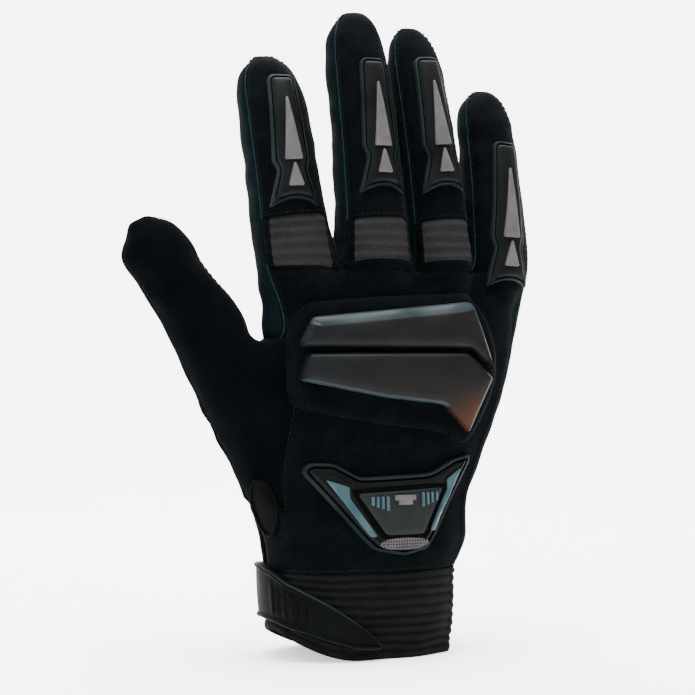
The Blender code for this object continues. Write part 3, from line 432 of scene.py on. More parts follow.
def base_edge(is_back):
    """The base points of all fingers along the back or the palm, shared where fingers meet."""
    edge = []
    for k in range(len(FINGERS)):
        for j in range(COLUMNS + 1):
            here = base_point(k, j, is_back)
            if j == 0 and k > 0:
                edge[-1] = (edge[-1] + here) / 2
            else:
                edge.append(here)
    return edge


def hand_ring(section, base_back, base_palm):
    """One ring of the hand: back points, right side, palm points, left side."""
    left, right = section.left * KNUCKLE_WIDTH, section.right * KNUCKLE_WIDTH
    middle, half = (left + right) / 2, (right - left) / 2
    first, last = base_back[0].x, base_back[-1].x

    def height(x):
        if section.zone == 0:
            low = hem_height(x)
            return low + (CUFF_HEIGHT - low) * section.level
        return CUFF_HEIGHT + (HAND_HEIGHT - CUFF_HEIGHT) * section.level

    def point(base, depth, sign):
        across = ((base.x - first) / (last - first) * 2 - 1) * SIDE_SHARE
        fullness = (1 - abs(across) ** SECTION_POWER) ** (1 / SECTION_POWER)
        x = middle + half * across
        y = sign * depth * fullness * HAND_DEPTH
        return Vector((x, y + (base.y - y) * section.arch, height(x)))

    back = [point(b, section.back, -1) for b in base_back]
    palm = [point(b, section.palm, 1) for b in base_palm]
    side = (section.palm - section.back) / 2 * HAND_DEPTH
    return [*back, Vector((right, side, height(right))), *reversed(palm), Vector((left, side, height(left)))]


def thumb_frame(section):
    lean = math.radians(THUMB_ANGLE)
    along = Vector((-math.sin(lean), 0, math.cos(lean)))
    inner = Vector((math.cos(lean), 0, math.sin(lean)))
    centre = THUMB_ROOT + along * (section.along * THUMB_LENGTH) - inner * (section.sway * THUMB_LENGTH)
    centre.y += THUMB_FORWARD * section.along
    tilt = section.turn * (math.pi / 2 - lean)
    return centre, Vector((math.sin(tilt), 0, math.cos(tilt))), Vector((0, -1, 0))


def thumb_ring(section, count):
    """A ring of the thumb. Its point 0 starts an eighth of a turn before the inner side."""
    centre, inner, back = thumb_frame(section)
    ring = []
    for q in range(count):
        angle = 2 * math.pi * (q / count) - math.pi / 4
        across = inner * (math.cos(angle) * section.width * THUMB_WIDTH / 2)
        ring.append(centre + across + back * (math.sin(angle) * section.depth * THUMB_DEPTH / 2))
    return ring


class Skin:
    """The glove's outer surface as one quad mesh, each face marked with its panel."""

    def __init__(self):
        self.points = []
        self.faces = []
        self.panels = []
        self.flat = []

    def add(self, point):
        self.points.append(Vector(point))
        return len(self.points) - 1

    def face(self, corners, panel, place):
        """A quad. place: its low corner and its size on the flat cloth, in metres."""
        u, v, wide, high = place
        self.faces.append(corners)
        self.panels.append(panel)
        self.flat.append(((u, v), (u + wide, v), (u + wide, v + high), (u, v + high)))

    def bridge(self, low, high, panel_of, pitch, level):
        """Quads between two rings that hold the same number of points."""
        count = len(low)
        rise = sum((self.points[a] - self.points[b]).length for a, b in zip(low, high)) / count
        for c in range(count):
            d = (c + 1) % count
            self.face((low[c], low[d], high[d], high[c]), panel_of(c), (c * pitch, level, pitch, rise))
        return level + rise

    def cap(self, ring, columns, outward, panel_of):
        """Closes a ring with a grid of quads, columns wide, domed outward."""
        rows = len(ring) // 2 - columns
        grid = [[None] * (columns + 1) for _ in range(rows + 1)]
        for i in range(columns + 1):
            grid[0][i] = ring[i]
            grid[rows][i] = ring[2 * columns + rows - i]
        for r in range(1, rows):
            grid[r][columns] = ring[columns + r]
            grid[r][0] = ring[len(ring) - r]
        centre = sum((self.points[v] for v in ring), Vector()) / len(ring)
        reach = sum((self.points[v] - centre).length for v in ring) / len(ring)
        for r in range(1, rows):
            for i in range(1, columns):
                west, east = self.points[grid[r][0]], self.points[grid[r][columns]]
                north, south = self.points[grid[0][i]], self.points[grid[rows][i]]
                flat = west.lerp(east, i / columns) * 0.5 + north.lerp(south, r / rows) * 0.5
                grid[r][i] = self.add(flat + outward * reach * TIP_DOME)
        for r in range(rows):
            for i in range(columns):
                corners = (grid[r][i], grid[r][i + 1], grid[r + 1][i + 1], grid[r + 1][i])
                self.face(corners, panel_of(r, i), (i * TIP_PITCH, r * TIP_PITCH, TIP_PITCH, TIP_PITCH))


def side_panel(k):
    """The panel on the little-finger side of finger k, counted from the outer side of the index."""
    if k in (0, len(FINGERS)):
        return "index_side" if k == 0 else "little_side"
    return f"fourchette_{FINGERS[k - 1].name}_{FINGERS[k].name}"


def hand_panel(row, column):
    if row < CUFF_ROWS:
        return "cuff_back" if column < BACK_COUNT - 1 else "cuff_palm"
    if column < BACK_COUNT - 1:
        return "hand_back"
    if column <= RIGHT_MID:
        return "little_side"
    if column < LEFT_MID - 1:
        return "palm"
    if row >= THUMB_ROW_HIGH:
        return "index_side"
    return "hand_back" if column == LEFT_MID else "palm"


def finger_panel(k, row, column):
    if column < COLUMNS:
        name = FINGERS[k].name
        return f"stretch_{name}" if row == 0 and FINGERS[k].stretch else f"finger_back_{name}"
    if column < COLUMNS + 2:
        return side_panel(k + 1)
    if column < 2 * COLUMNS + 2:
        return "palm"
    return side_panel(k)


def build_skin():
    """All the rings of the hand, fingers and thumb and the faces between them."""
    skin = Skin()
    base_back, base_palm = base_edge(True), base_edge(False)
    hand = []
    for section in HAND_SECTIONS:
        hand.append([skin.add(p) for p in hand_ring(section, base_back, base_palm)])

    sides = (base_back[-1] + base_palm[-1]) / 2, (base_back[0] + base_palm[0]) / 2
    last, first = FINGERS[-1], FINGERS[0]
    sides[0].x = last.x + last.width * FINGER_BASE_WIDTH / 2
    sides[1].x = first.x - first.width * FINGER_BASE_WIDTH / 2
    top = [*base_back, sides[0], *reversed(base_palm), sides[1]]
    hand.append([skin.add(p) for p in top])

    crotches = []
    for k in range(1, len(FINGERS)):
        corner_back, corner_palm = base_back[k * COLUMNS], base_palm[k * COLUMNS]
        middle = (corner_back + corner_palm) / 2
        middle.z = HAND_HEIGHT + CROTCH_RISE
        crotches.append(skin.add(middle))
    side_mids = [hand[-1][LEFT_MID], *crotches, hand[-1][RIGHT_MID]]

    for k, finger in enumerate(FINGERS):
        back = [hand[-1][k * COLUMNS + j] for j in range(COLUMNS + 1)]
        palm = [hand[-1][palm_column(k * COLUMNS + j)] for j in range(COLUMNS + 1)]
        rings = [[*back, side_mids[k + 1], *reversed(palm), side_mids[k]]]
        for section in FINGER_SECTIONS:
            rise = STRETCH_HEIGHT + (finger.length - STRETCH_HEIGHT) * section.along
            ring = finger_ring(finger, rise, section.width * finger.width, section.depth * finger.depth)
            rings.append([skin.add(p) for p in ring])
        pitch = math.pi * (finger.width + finger.depth) / 2 / FINGER_RING
        level = 0.0
        for row, (low, high) in enumerate(zip(rings, rings[1:])):
            level = skin.bridge(low, high, lambda c, k=k, row=row: finger_panel(k, row, c), pitch, level)
        name = finger.name
        outward = finger_axis(finger, finger.length)[1]
        skin.cap(rings[-1], COLUMNS, outward, lambda r, i, name=name: "palm" if r else f"finger_back_{name}")

    hole = {palm_column(1), palm_column(0), LEFT_MID, 0}
    for row, (low, high) in enumerate(zip(hand, hand[1:])):
        for c in range(RING_COUNT):
            if THUMB_ROW_LOW <= row < THUMB_ROW_HIGH and c in hole:
                continue
            d = (c + 1) % RING_COUNT
            pitch = 2.6 * KNUCKLE_WIDTH / RING_COUNT
            rise = HAND_HEIGHT / len(HAND_SECTIONS)
            place = (c * pitch, row * rise, pitch, rise)
            skin.face((low[c], low[d], high[d], high[c]), hand_panel(row, c), place)

    across = [palm_column(1), palm_column(0), LEFT_MID, 0, 1]
    rows_down = range(THUMB_ROW_HIGH - 1, THUMB_ROW_LOW, -1)
    rim = [hand[THUMB_ROW_HIGH][c] for c in across]
    rim += [hand[r][across[-1]] for r in rows_down]
    rim += [hand[THUMB_ROW_LOW][c] for c in reversed(across)]
    rim += [hand[r][across[0]] for r in reversed(rows_down)]
    count = len(rim)
    rings = [rim] + [[skin.add(p) for p in thumb_ring(s, count)] for s in THUMB_SECTIONS]

    def thumb_panel(column):
        return "thumb_back" if count // 8 <= column < count // 8 + count // 2 else "thumb_palm"

    pitch = math.pi * (THUMB_WIDTH + THUMB_DEPTH) / 2 / count
    level = 0.0
    for low, high in zip(rings, rings[1:]):
        level = skin.bridge(low, high, thumb_panel, pitch, level)
    quarter = count // 4
    lean = math.radians(THUMB_ANGLE)
    outward = Vector((-math.sin(lean), 0, math.cos(lean)))
    skin.cap(rings[-1], quarter, outward, lambda r, i: "thumb_back" if i >= quarter // 2 else "thumb_palm")
    return skin


class Plane:
    """A flat drawing plane in front of the glove. across and up span it, out points off the glove."""

    def __init__(self, origin, across, up):
        self.origin = origin
        self.across = across.normalized()
        self.out = self.across.cross(up).normalized()
        self.up = self.out.cross(self.across).normalized()

    def point(self, u, v, height):
        return self.origin + self.across * u + self.up * v + self.out * height

    def ground(self, tree, u, v):
        """Height of the surface under the drawing point u, v."""
        distance = tree.ray_cast(self.point(u, v, RAY_REACH), -self.out, 2 * RAY_REACH)[3]
        return RAY_REACH - distance if distance is not None else 0.0


class Wrap:
    """A drawing wrapped round the wrist: u runs from the palm by the thumb side to the back."""

    def point(self, u, v, height):
        angle = -u / WRAP_RADIUS
        return Vector((-math.sin(angle) * height, -math.cos(angle) * height, v))

    def ground(self, tree, u, v):
        start = self.point(u, v, RAY_REACH)
        distance = tree.ray_cast(start, self.point(u, v, 0.0) - start, RAY_REACH)[3]
        return RAY_REACH - distance if distance is not None else 0.0


def guard_plane(finger):
    """Drawing plane on a finger's back, with its origin at the guard's fingertip end."""
    guard = GUARDS[finger.name]
    start, _ = finger_axis(finger, guard.low + guard.long)
    end, _ = finger_axis(finger, max(0.0, guard.low))
    end.z += min(0.0, guard.low)
    _, side, _ = finger_frame(finger, max(0.0, guard.low + guard.long / 2))
    start += side * guard.top_shift
    end += side * guard.low_shift
    up = (start - end).normalized()
    return Plane(start, side - up * side.dot(up), up)


def colour(text):
    """A linear colour from an sRGB hex code."""
    parts = [int(text[i:i + 2], 16) / 255 for i in (0, 2, 4)]
    return tuple(c / 12.92 if c <= 0.04045 else ((c + 0.055) / 1.055) ** 2.4 for c in parts) + (1.0,)


def add(tree, kind, inputs=None, **settings):
    """Adds a node, a shader node where kind doesn't say. inputs: a value or an output for each socket."""
    made = tree.nodes.new(kind if "Node" in kind else "ShaderNode" + kind)
    for key, value in settings.items():
        setattr(made, key, value)
    for socket, value in (inputs or {}).items():
        if isinstance(value, bpy.types.NodeSocket):
            tree.links.new(value, made.inputs[socket])
        else:
            made.inputs[socket].default_value = value
    return made.outputs


def start(name, roughness, gloss, **finish):
    """A material with the values that are the same all over.

    Returns it, the function that adds its nodes, its shader and the place on the piece, in metres.
    """
    material = bpy.data.materials.new(name)
    material.use_nodes = True
    put = partial(add, material.node_tree)
    shader = material.node_tree.nodes["Principled BSDF"]
    for socket, value in {"roughness": roughness, "specular_IOR_level": gloss, **finish}.items():
        words = [word if word.isupper() else word.title() for word in socket.split("_")]
        shader.inputs[" ".join(words)].default_value = value
    return material, put, shader, put("TexCoord")["Object"]


def thread_waves(put, across, along):
    """Waves across and along the flat cloth, each from -1 to 1. across, along: thread spacing."""
    flat = put("UVMap", uv_map="flat")[0]
    periods = (2 * math.pi / across, 2 * math.pi / along, 0.0)
    turns = put("VectorMath", {0: flat, 1: periods}, operation="MULTIPLY")[0]
    return put("SeparateXYZ", {0: put("VectorMath", {0: turns}, operation="SINE")[0]})


def shade_and_emboss(put, shader, tone, span, dark, light, height, depth, strength=0.5):
    """Colour from dark to light while tone passes over span, and relief from height, depth metres deep."""
    tone = put("MapRange", {"Value": tone, "From Min": span[0], "From Max": span[1]})[0]
    shade = put("Mix", {0: tone, 6: dark, 7: light}, data_type="RGBA", clamp_factor=True)[2]
    emboss = put("Bump", {"Height": height, "Distance": depth, "Strength": strength})[0]
    shader.id_data.links.new(shade, shader.inputs["Base Color"])
    shader.id_data.links.new(emboss, shader.inputs["Normal"])
    return shade


def knitted(name, dark, light, wale, course, patch, roughness=0.88, gloss=0.02, painted_crest_highlight=None):
    """Knitted nylon or elastic: rows of loops, with uneven patches where the yarn is pulled.

    The last argument: a lighter colour painted on the tops of the ribs, a painted highlight where light
    catches them.
    """
    material, put, shader, place = start(name, roughness, gloss, sheen_weight=0.01, sheen_roughness=0.4)
    waves = thread_waves(put, wale, course)
    loops = put("Math", {0: waves["X"], 1: waves["Y"]}, operation="ADD")[0]
    clouds = put("TexNoise", {"Vector": place, "Scale": 1 / patch, "Detail": 4.0, "Roughness": 0.55})[0]
    tone = put("Math", {0: loops, 1: 0.14, 2: clouds}, operation="MULTIPLY_ADD")[0]
    shade = shade_and_emboss(put, shader, tone, (0.2, 0.9), colour(dark), colour(light), loops, 0.1 * MM)
    if painted_crest_highlight:
        # Painted highlight: the tops of the ribs are painted lighter.
        rise = put("Attribute", attribute_name="rib_rise")["Fac"]
        high = put("MapRange", {"Value": rise, "From Min": 0.72, "From Max": 1.0, "To Max": 0.8})[0]
        shade = put("Mix", {0: high, 6: shade, 7: colour(painted_crest_highlight)}, data_type="RGBA")[2]
        shader.id_data.links.new(shade, shader.inputs["Base Color"])
    return material


def brushed_suede(name, dark, light):
    """Synthetic suede, brushed: a short nap that shows as soft mottling, quite without gloss."""
    material, put, shader, place = start(name, 0.93, 0.01, sheen_weight=0.004, sheen_roughness=0.5)
    # The nap is drawn about three times as coarse as real, so that it shows.
    nap = put("TexNoise", {"Vector": place, "Scale": 1 / (1.1 * MM), "Detail": 5.0, "Roughness": 0.7})[0]
    patches = put("TexNoise", {"Vector": place, "Scale": 1 / (14 * MM), "Detail": 2.0, "Roughness": 0.55})[0]
    tone = put("Math", {0: nap, 1: 0.5, 2: patches}, operation="MULTIPLY_ADD")[0]
    shade_and_emboss(put, shader, tone, (0.3, 1.2), colour(dark), colour(light), nap, 0.15 * MM)
    return material


def open_mesh(name, dark, light, pitch):
    """Knitted spacer mesh: staggered holes that show darker than the yarn between them."""
    material, put, shader, place = start(name, 0.84, 0.02, sheen_weight=0.01, sheen_roughness=0.4)
    waves = thread_waves(put, pitch * 2, pitch * 2)
    cells = put("Math", {0: waves["X"], 1: waves["Y"]}, operation="MULTIPLY")[0]
    cells = put("Math", {0: cells}, operation="ABSOLUTE")[0]
    holes = {"Value": cells, "From Min": 0.45, "From Max": 0.75, "To Min": 1.0, "To Max": 0.0}
    yarn = put("MapRange", holes)[0]
    patches = put("TexNoise", {"Vector": place, "Scale": 1 / (12 * MM), "Detail": 3.0, "Roughness": 0.55})[0]
    tone = put("Math", {0: yarn, 1: patches}, operation="MULTIPLY")[0]
    shade_and_emboss(put, shader, tone, (0.0, 0.7), colour(dark), colour(light), yarn, 0.2 * MM)
    return material


def spark_and_clouds(put, place, grain):
    """Spark grain from the mould, the cloudy gloss of handling, and the shade they give together."""
    spark = put("TexNoise", {"Vector": place, "Scale": 1 / grain, "Detail": 4.0, "Roughness": 0.7})[0]
    clouds = put("TexNoise", {"Vector": place, "Scale": 1 / (16 * MM), "Detail": 2.0, "Roughness": 0.55})[0]
    return spark, clouds, put("Math", {0: spark, 1: 0.3, 2: clouds}, operation="MULTIPLY_ADD")[0]


def moulded(name, dark, light, roughness, grain=0.5 * MM, gloss=0.1):
    """Moulded rubber: fine grain from the mould, satin where it is handled and duller elsewhere."""
    material, put, shader, place = start(name, roughness, gloss)
    spark, clouds, tone = spark_and_clouds(put, place, grain)
    shine = {"Value": clouds, "From Min": 0.3, "From Max": 0.7}
    shine = put("MapRange", {**shine, "To Min": roughness - 0.06, "To Max": roughness + 0.08})[0]
    shader.id_data.links.new(shine, shader.inputs["Roughness"])
    shade_and_emboss(put, shader, tone, (0.4, 0.9), colour(dark), colour(light), spark, 0.05 * MM)
    return material


def knuckle_shell():
    """Satin thermoplastic, moulded: nearly black, with painted reflections that are cool at the thumb side
    and warm at the other, and a warm patch at the lower right.
    """
    material, put, shader, place = start("knuckle_shell", 0.5, 0.1)
    where = put("SeparateXYZ", {0: place})
    spark, _, tone = spark_and_clouds(put, place, 0.4 * MM)
    # Painted reflection: the tint turns from cool at the thumb side to warm at the other.
    side = put("MapRange", {"Value": where["X"], "From Min": -30 * MM, "From Max": 10 * MM})[0]
    deep = put("Mix", {0: side, 6: colour("040607"), 7: colour("060504")}, data_type="RGBA")[2]
    pale = put("Mix", {0: side, 6: colour("090e10"), 7: colour("0c0b09")}, data_type="RGBA")[2]
    cloudy = shade_and_emboss(put, shader, tone, (0.4, 0.9), deep, pale, spark, 0.12 * MM, 0.8)
    # Painted reflection: a warm patch at the lower right of the plates.
    right = put("MapRange", {"Value": where["X"], "From Min": 26 * MM, "From Max": 36 * MM})[0]
    low = put("MapRange", {"Value": where["Z"], "From Min": 102 * MM, "From Max": 92 * MM})[0]
    warm = put("Math", {0: right, 1: low}, operation="MULTIPLY")[0]
    shade = put("Mix", {0: warm, 6: cloudy, 7: colour("2c1404")}, data_type="RGBA")[2]
    shader.id_data.links.new(shade, shader.inputs["Base Color"])
    return material


def reflective_film(name, dark, light, pitch):
    """Printed reflective film: a fine dot screen over a cloudy grey."""
    material, put, shader, place = start(name, 0.45, 0.1)
    waves = thread_waves(put, pitch, pitch)
    dots = put("Math", {0: waves["X"], 1: waves["Y"]}, operation="MULTIPLY")[0]
    clouds = put("TexNoise", {"Vector": place, "Scale": 1 / (5 * MM), "Detail": 3.0, "Roughness": 0.55})[0]
    tone = put("Math", {0: dots, 1: 0.25, 2: clouds}, operation="MULTIPLY_ADD")[0]
    shade_and_emboss(put, shader, tone, (0.1, 0.9), colour(dark), colour(light), dots, 0.04 * MM)
    return material


# Cloth: nearly black, faintly blue-green, without gloss. The loops of the knits and the yarn of
# the elastics are about 0.4 mm in the real glove. They are drawn about twice as coarse to show.
KNIT = knitted("stretch_knit", "010203", "05090c", 1.0 * MM, 0.8 * MM, 9 * MM)
PAD_KNIT = knitted("padded_knit", "010203", "05090c", 1.0 * MM, 0.8 * MM, 9 * MM)
SUEDE = brushed_suede("synthetic_suede", "010203", "040608")
SIDE_MESH = open_mesh("side_mesh", "020304", "071214", 1.0 * MM)
# The last colour of the accordion knit and of the ribbed elastic is a painted highlight on the tops of their
# ribs.
ACCORDION = knitted("accordion_knit", "151515", "1c1c1c", 1.0 * MM, 0.6 * MM, 6 * MM, 0.8, 0.04, "202020")
ELASTIC = knitted("ribbed_elastic", "020302", "0a0d0b", 1.0 * MM, 0.6 * MM, 6 * MM, 0.8, 0.04, "0b0e0c")
BINDING = knitted("hem_binding", "060706", "151715", 0.7 * MM, 0.7 * MM, 6 * MM)
THREAD = knitted("black_thread", "06080a", "171b1f", 0.3 * MM, 0.3 * MM, 3 * MM)
TEAL_THREAD = knitted("dark_teal_thread", "0a1618", "1c3236", 0.3 * MM, 0.3 * MM, 3 * MM)
# Rubber and shell: satin, with a grain of about 0.1 mm that is drawn four to five times as coarse.
RUBBER = moulded("moulded_rubber", "030404", "080a0a", 0.5, gloss=0.07)
RIM_RUBBER = moulded("raised_rubber", "090f11", "131b1d", 0.5, gloss=0.07)
# Darker rubber: the root patch's own colour, and painted shade in the grooves of the guards and the badge and
# on the badge's painted shadow sheet.
DARK_RUBBER_AND_GROOVE_SHADE = moulded("groove_rubber", "010101", "030404", 0.7, gloss=0.02)
STRAP_RUBBER = moulded("strap_rubber", "020303", "050707", 0.6, 0.6 * MM, gloss=0.03)
STRAP_EDGE = moulded("strap_edge_grey", "090e0f", "151c1e", 0.5, gloss=0.06)
SHELL = knuckle_shell()
# A lighter grey-blue for the knuckle plates' bevels on the sides that catch the light: a painted highlight.
BEVEL_HIGHLIGHT = moulded("bevel_grey", "11191b", "222c2f", 0.4, 0.4 * MM)
# Prints: grey and grey-blue, lighter than all else. Their dots are drawn twice as coarse as real.
INLAY = reflective_film("reflective_grey", "363436", "504e50", 0.7 * MM)
PLATE_PRINT = moulded("raised_print", "0b0e0f", "14191a", 0.5, 0.4 * MM)
OVAL_MESH = open_mesh("oval_mesh_print", "1c1b1c", "504e51", 1.1 * MM)
STRIPE = moulded("badge_stripe", "22353a", "3a4f54", 0.4)


def shown(name, data):
    """A new object in the scene."""
    made = bpy.data.objects.new(name, data)
    bpy.context.scene.collection.objects.link(made)
    return made


def lay_flat(mesh, flats):
    """Gives each corner of each face its place on the flat cloth, as UV map flat."""
    layer = mesh.uv_layers.new(name="flat")
    layer.data.foreach_set("uv", [c for flat in flats for uv in flat for c in uv])


def turn_outward(mesh):
    """Points all faces out of a closed mesh."""
    bm = bmesh.new()
    bm.from_mesh(mesh)
    bmesh.ops.recalc_face_normals(bm, faces=bm.faces)
    bm.to_mesh(mesh)
    bm.free()


def new_piece(name, points, faces, flats, finishes, marks=None, node=None):
    """An object from points, faces and one flat coordinate for each corner of each face."""
    mesh = bpy.data.meshes.new(name)
    mesh.from_pydata(points, [], faces)
    lay_flat(mesh, flats)
    for finish in finishes:
        mesh.materials.append(finish)
    if marks is not None:
        mesh.polygons.foreach_set("material_index", marks)
    mesh.shade_smooth()
    mesh.set_sharp_from_angle(angle=math.radians(SHARP_EDGE))
    piece = shown(name, mesh)
    keep_piece(piece, node)
    return piece


def keep_piece(piece, node=None):
    """A piece rides on the glove and takes the place of its solid."""
    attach(piece, "root")
    if node:
        piece.name = f"{node}_dressed"
        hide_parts(node)


def baked(piece):
    """Turns an object's modifiers into mesh."""
    evaluated = piece.evaluated_get(bpy.context.evaluated_depsgraph_get())
    mesh = bpy.data.meshes.new_from_object(evaluated)
    piece.modifiers.clear()
    old = piece.data
    piece.data = mesh
    bpy.data.meshes.remove(old)


def rounded(corners, radius, step=1.2 * MM):
    """An outline through corners that are eased over radius, cut into short runs."""
    eased = []
    for i, corner in enumerate(corners):
        here = Vector(corner)
        back, on = Vector(corners[i - 1]) - here, Vector(corners[(i + 1) % len(corners)]) - here
        start = here + back.normalized() * min(radius, back.length * ROOM_SHARE)
        end = here + on.normalized() * min(radius, on.length * ROOM_SHARE)
        for t in (0.0, 0.25, 0.5, 0.75, 1.0):
            eased.append(start * (1 - t) ** 2 + here * 2 * t * (1 - t) + end * t * t)
    line = []
    for a, b in zip(eased, eased[1:] + eased[:1]):
        parts = max(1, math.ceil((b - a).length / step))
        if (b - a).length > 0.02 * MM:
            line += [a.lerp(b, k / parts) for k in range(parts)]
    return line


def inward(line):
    """For each outline point, the direction into the shape and the room there is that way."""
    count = len(line)
    ways = []
    for i in range(count):
        a, b = (line[i] - line[i - 1]).normalized(), (line[(i + 1) % count] - line[i]).normalized()
        na, nb = Vector((-a.y, a.x)), Vector((-b.y, b.x))
        ways.append((na + nb) / max(0.5, 1 + na.dot(nb)))
    rooms = []
    for i in range(count):
        p, way = line[i], ways[i].normalized()
        room = 1.0
        for j in range(count):
            if j == i or (j + 1) % count == i:
                continue
            a, b = line[j], line[(j + 1) % count]
            edge = b - a
            bottom = way.x * edge.y - way.y * edge.x
            if abs(bottom) < 1e-12:
                continue
            t = ((a.x - p.x) * edge.y - (a.y - p.y) * edge.x) / bottom
            s = ((a.x - p.x) * way.y - (a.y - p.y) * way.x) / bottom
            if t > 1e-6 and 0 <= s <= 1:
                room = min(room, t)
        rooms.append(room * ROOM_SHARE)
    return ways, [min(rooms[(i + k) % count] for k in range(-2, 3)) for i in range(count)]


def inside(point, line):
    hit = False
    for a, b in zip(line, line[1:] + line[:1]):
        if (a.y > point.y) != (b.y > point.y) and point.x < (b.x - a.x) * (point.y - a.y) / (b.y - a.y) + a.x:
            hit = not hit
    return hit


def relief(name, line, steps, drawing, tree, base, finishes, node=None, grid=2.5 * MM, shape=None,
           weight=None, pale=None, span=0.0):
    """A moulded piece: rings stepped in from its outline, then a filled top.

    base: level above the surface. shape(u, v, edge): extra height of the top, edge metres from
    its rim. weight(way): share of the inset on the side whose way into the shape that is. pale(way):
    whether marked steps show there. span: how far a stiff piece bridges the hollows under it.
    """
    ways, rooms = inward(line)
    rings = []
    for step in steps:
        ring = []
        for p, way, room in zip(line, ways, rooms):
            inset = step.inset * (weight(way) if weight else 1.0)
            ring.append(p + way * min(inset, room))
        rings.append(ring)
    flats = [p for ring in rings for p in ring]
    heights = [step.height for step in steps for _ in line]
    count = len(line)
    faces, marks = [], []
    for k in range(len(steps) - 1):
        for i in range(count):
            j = (i + 1) % count
            faces.append((k * count + i, k * count + j, (k + 1) * count + j, (k + 1) * count + i))
            marked = pale is None or pale(ways[i].normalized())
            marks.append(steps[k + 1].mark if marked else 0)
    rim = rings[-1]
    low_u, high_u = min(p.x for p in rim), max(p.x for p in rim)
    low_v, high_v = min(p.y for p in rim), max(p.y for p in rim)
    inner = []
    for a in range(1, int((high_u - low_u) / grid) + 1):
        for b in range(1, int((high_v - low_v) / grid) + 1):
            p = Vector((low_u + a * grid, low_v + (b + 0.5 * (a % 2)) * grid))
            if inside(p, rim) and min((p - q).length for q in rim) > grid * 0.45:
                inner.append(p)
    found, _, triangles, origins, _, _ = delaunay_2d_cdt(rim + inner, [], [list(range(count))], 1, 1e-7)
    first = (len(steps) - 1) * count
    number = {}
    for index, (p, origin) in enumerate(zip(found, origins)):
        if origin and origin[0] < count:
            number[index] = first + origin[0]
            continue
        number[index] = len(flats)
        edge = min((Vector(p) - q).length for q in rim)
        flats.append(Vector(p))
        heights.append(steps[-1].height + (shape(p[0], p[1], edge) if shape else 0.0))
    for triangle in triangles:
        faces.append(tuple(number[i] for i in triangle))
        marks.append(steps[-1].mark)
    first_u, last_u = min(p.x for p in line), max(p.x for p in line)
    points = []
    for p, height in zip(flats, heights):
        places = [min(max(p.x + share * span, first_u), last_u) for share in (BRIDGE if span else (0.0,))]
        level = sum(drawing.ground(tree, u, p.y) for u in places) / len(places)
        points.append(drawing.point(p.x, p.y, level + base + height))
    uvs = [[(flats[i].x, flats[i].y) for i in face] for face in faces]
    return new_piece(name, points, faces, uvs, finishes, marks, node)


def smooth_skin(skin):
    """The sections as smooth cloth that passes through them, each panel marked by its number."""
    names = sorted(set(skin.panels))
    mesh = bpy.data.meshes.new("skin")
    mesh.from_pydata(skin.points, [], skin.faces)
    lay_flat(mesh, skin.flat)
    for _ in names:
        mesh.materials.append(KNIT)
    mesh.polygons.foreach_set("material_index", [names.index(p) for p in skin.panels])
    turn_outward(mesh)
    cage = shown("skin", mesh)
    curve = cage.modifiers.new("smooth", "SUBSURF")
    curve.levels = curve.render_levels = SKIN_LEVELS
    curve.uv_smooth = "NONE"
    target = [v.co.copy() for v in mesh.vertices]
    for _ in range(FIT_ROUNDS):
        points = cage.evaluated_get(bpy.context.evaluated_depsgraph_get()).data.vertices
        reached = [points[i].co.copy() for i in range(len(target))]
        for vertex, goal, now in zip(mesh.vertices, target, reached):
            vertex.co += (goal - now) * FIT_STEP
        mesh.update()
        cage.update_tag()
    baked(cage)
    bm = bmesh.new()
    bm.from_mesh(cage.data)
    bpy.data.objects.remove(cage)
    return bm, names


def is_border(edge):
    return len({f.material_index for f in edge.link_faces}) > 1


def sink_seams(bm):
    """Pulls the cloth in along its seams and puts slack folds between them."""
    borders = KDTree(2 * len(bm.edges))
    for edge in bm.edges:
        if is_border(edge):
            for t in (0.0, 0.5):
                borders.insert(edge.verts[0].co.lerp(edge.verts[1].co, t), edge.index)
    borders.balance()
    moves = []
    for vertex in bm.verts:
        apart = borders.find(vertex.co)[2]
        groove = max(0.0, 1 - apart / SEAM_REACH) ** 2 * SEAM_DEPTH
        place = Vector((vertex.co.x, vertex.co.y, vertex.co.z * FOLD_FLATNESS)) / FOLD_SIZE
        slack = FOLD_PALM if vertex.co.y > 0 else FOLD_BACK
        fold = noise.noise(place) * slack * min(1.0, apart / SEAM_REACH)
        moves.append((vertex, vertex.normal * (fold - groove)))
    for vertex, move in moves:
        vertex.co += move
    bm.normal_update()


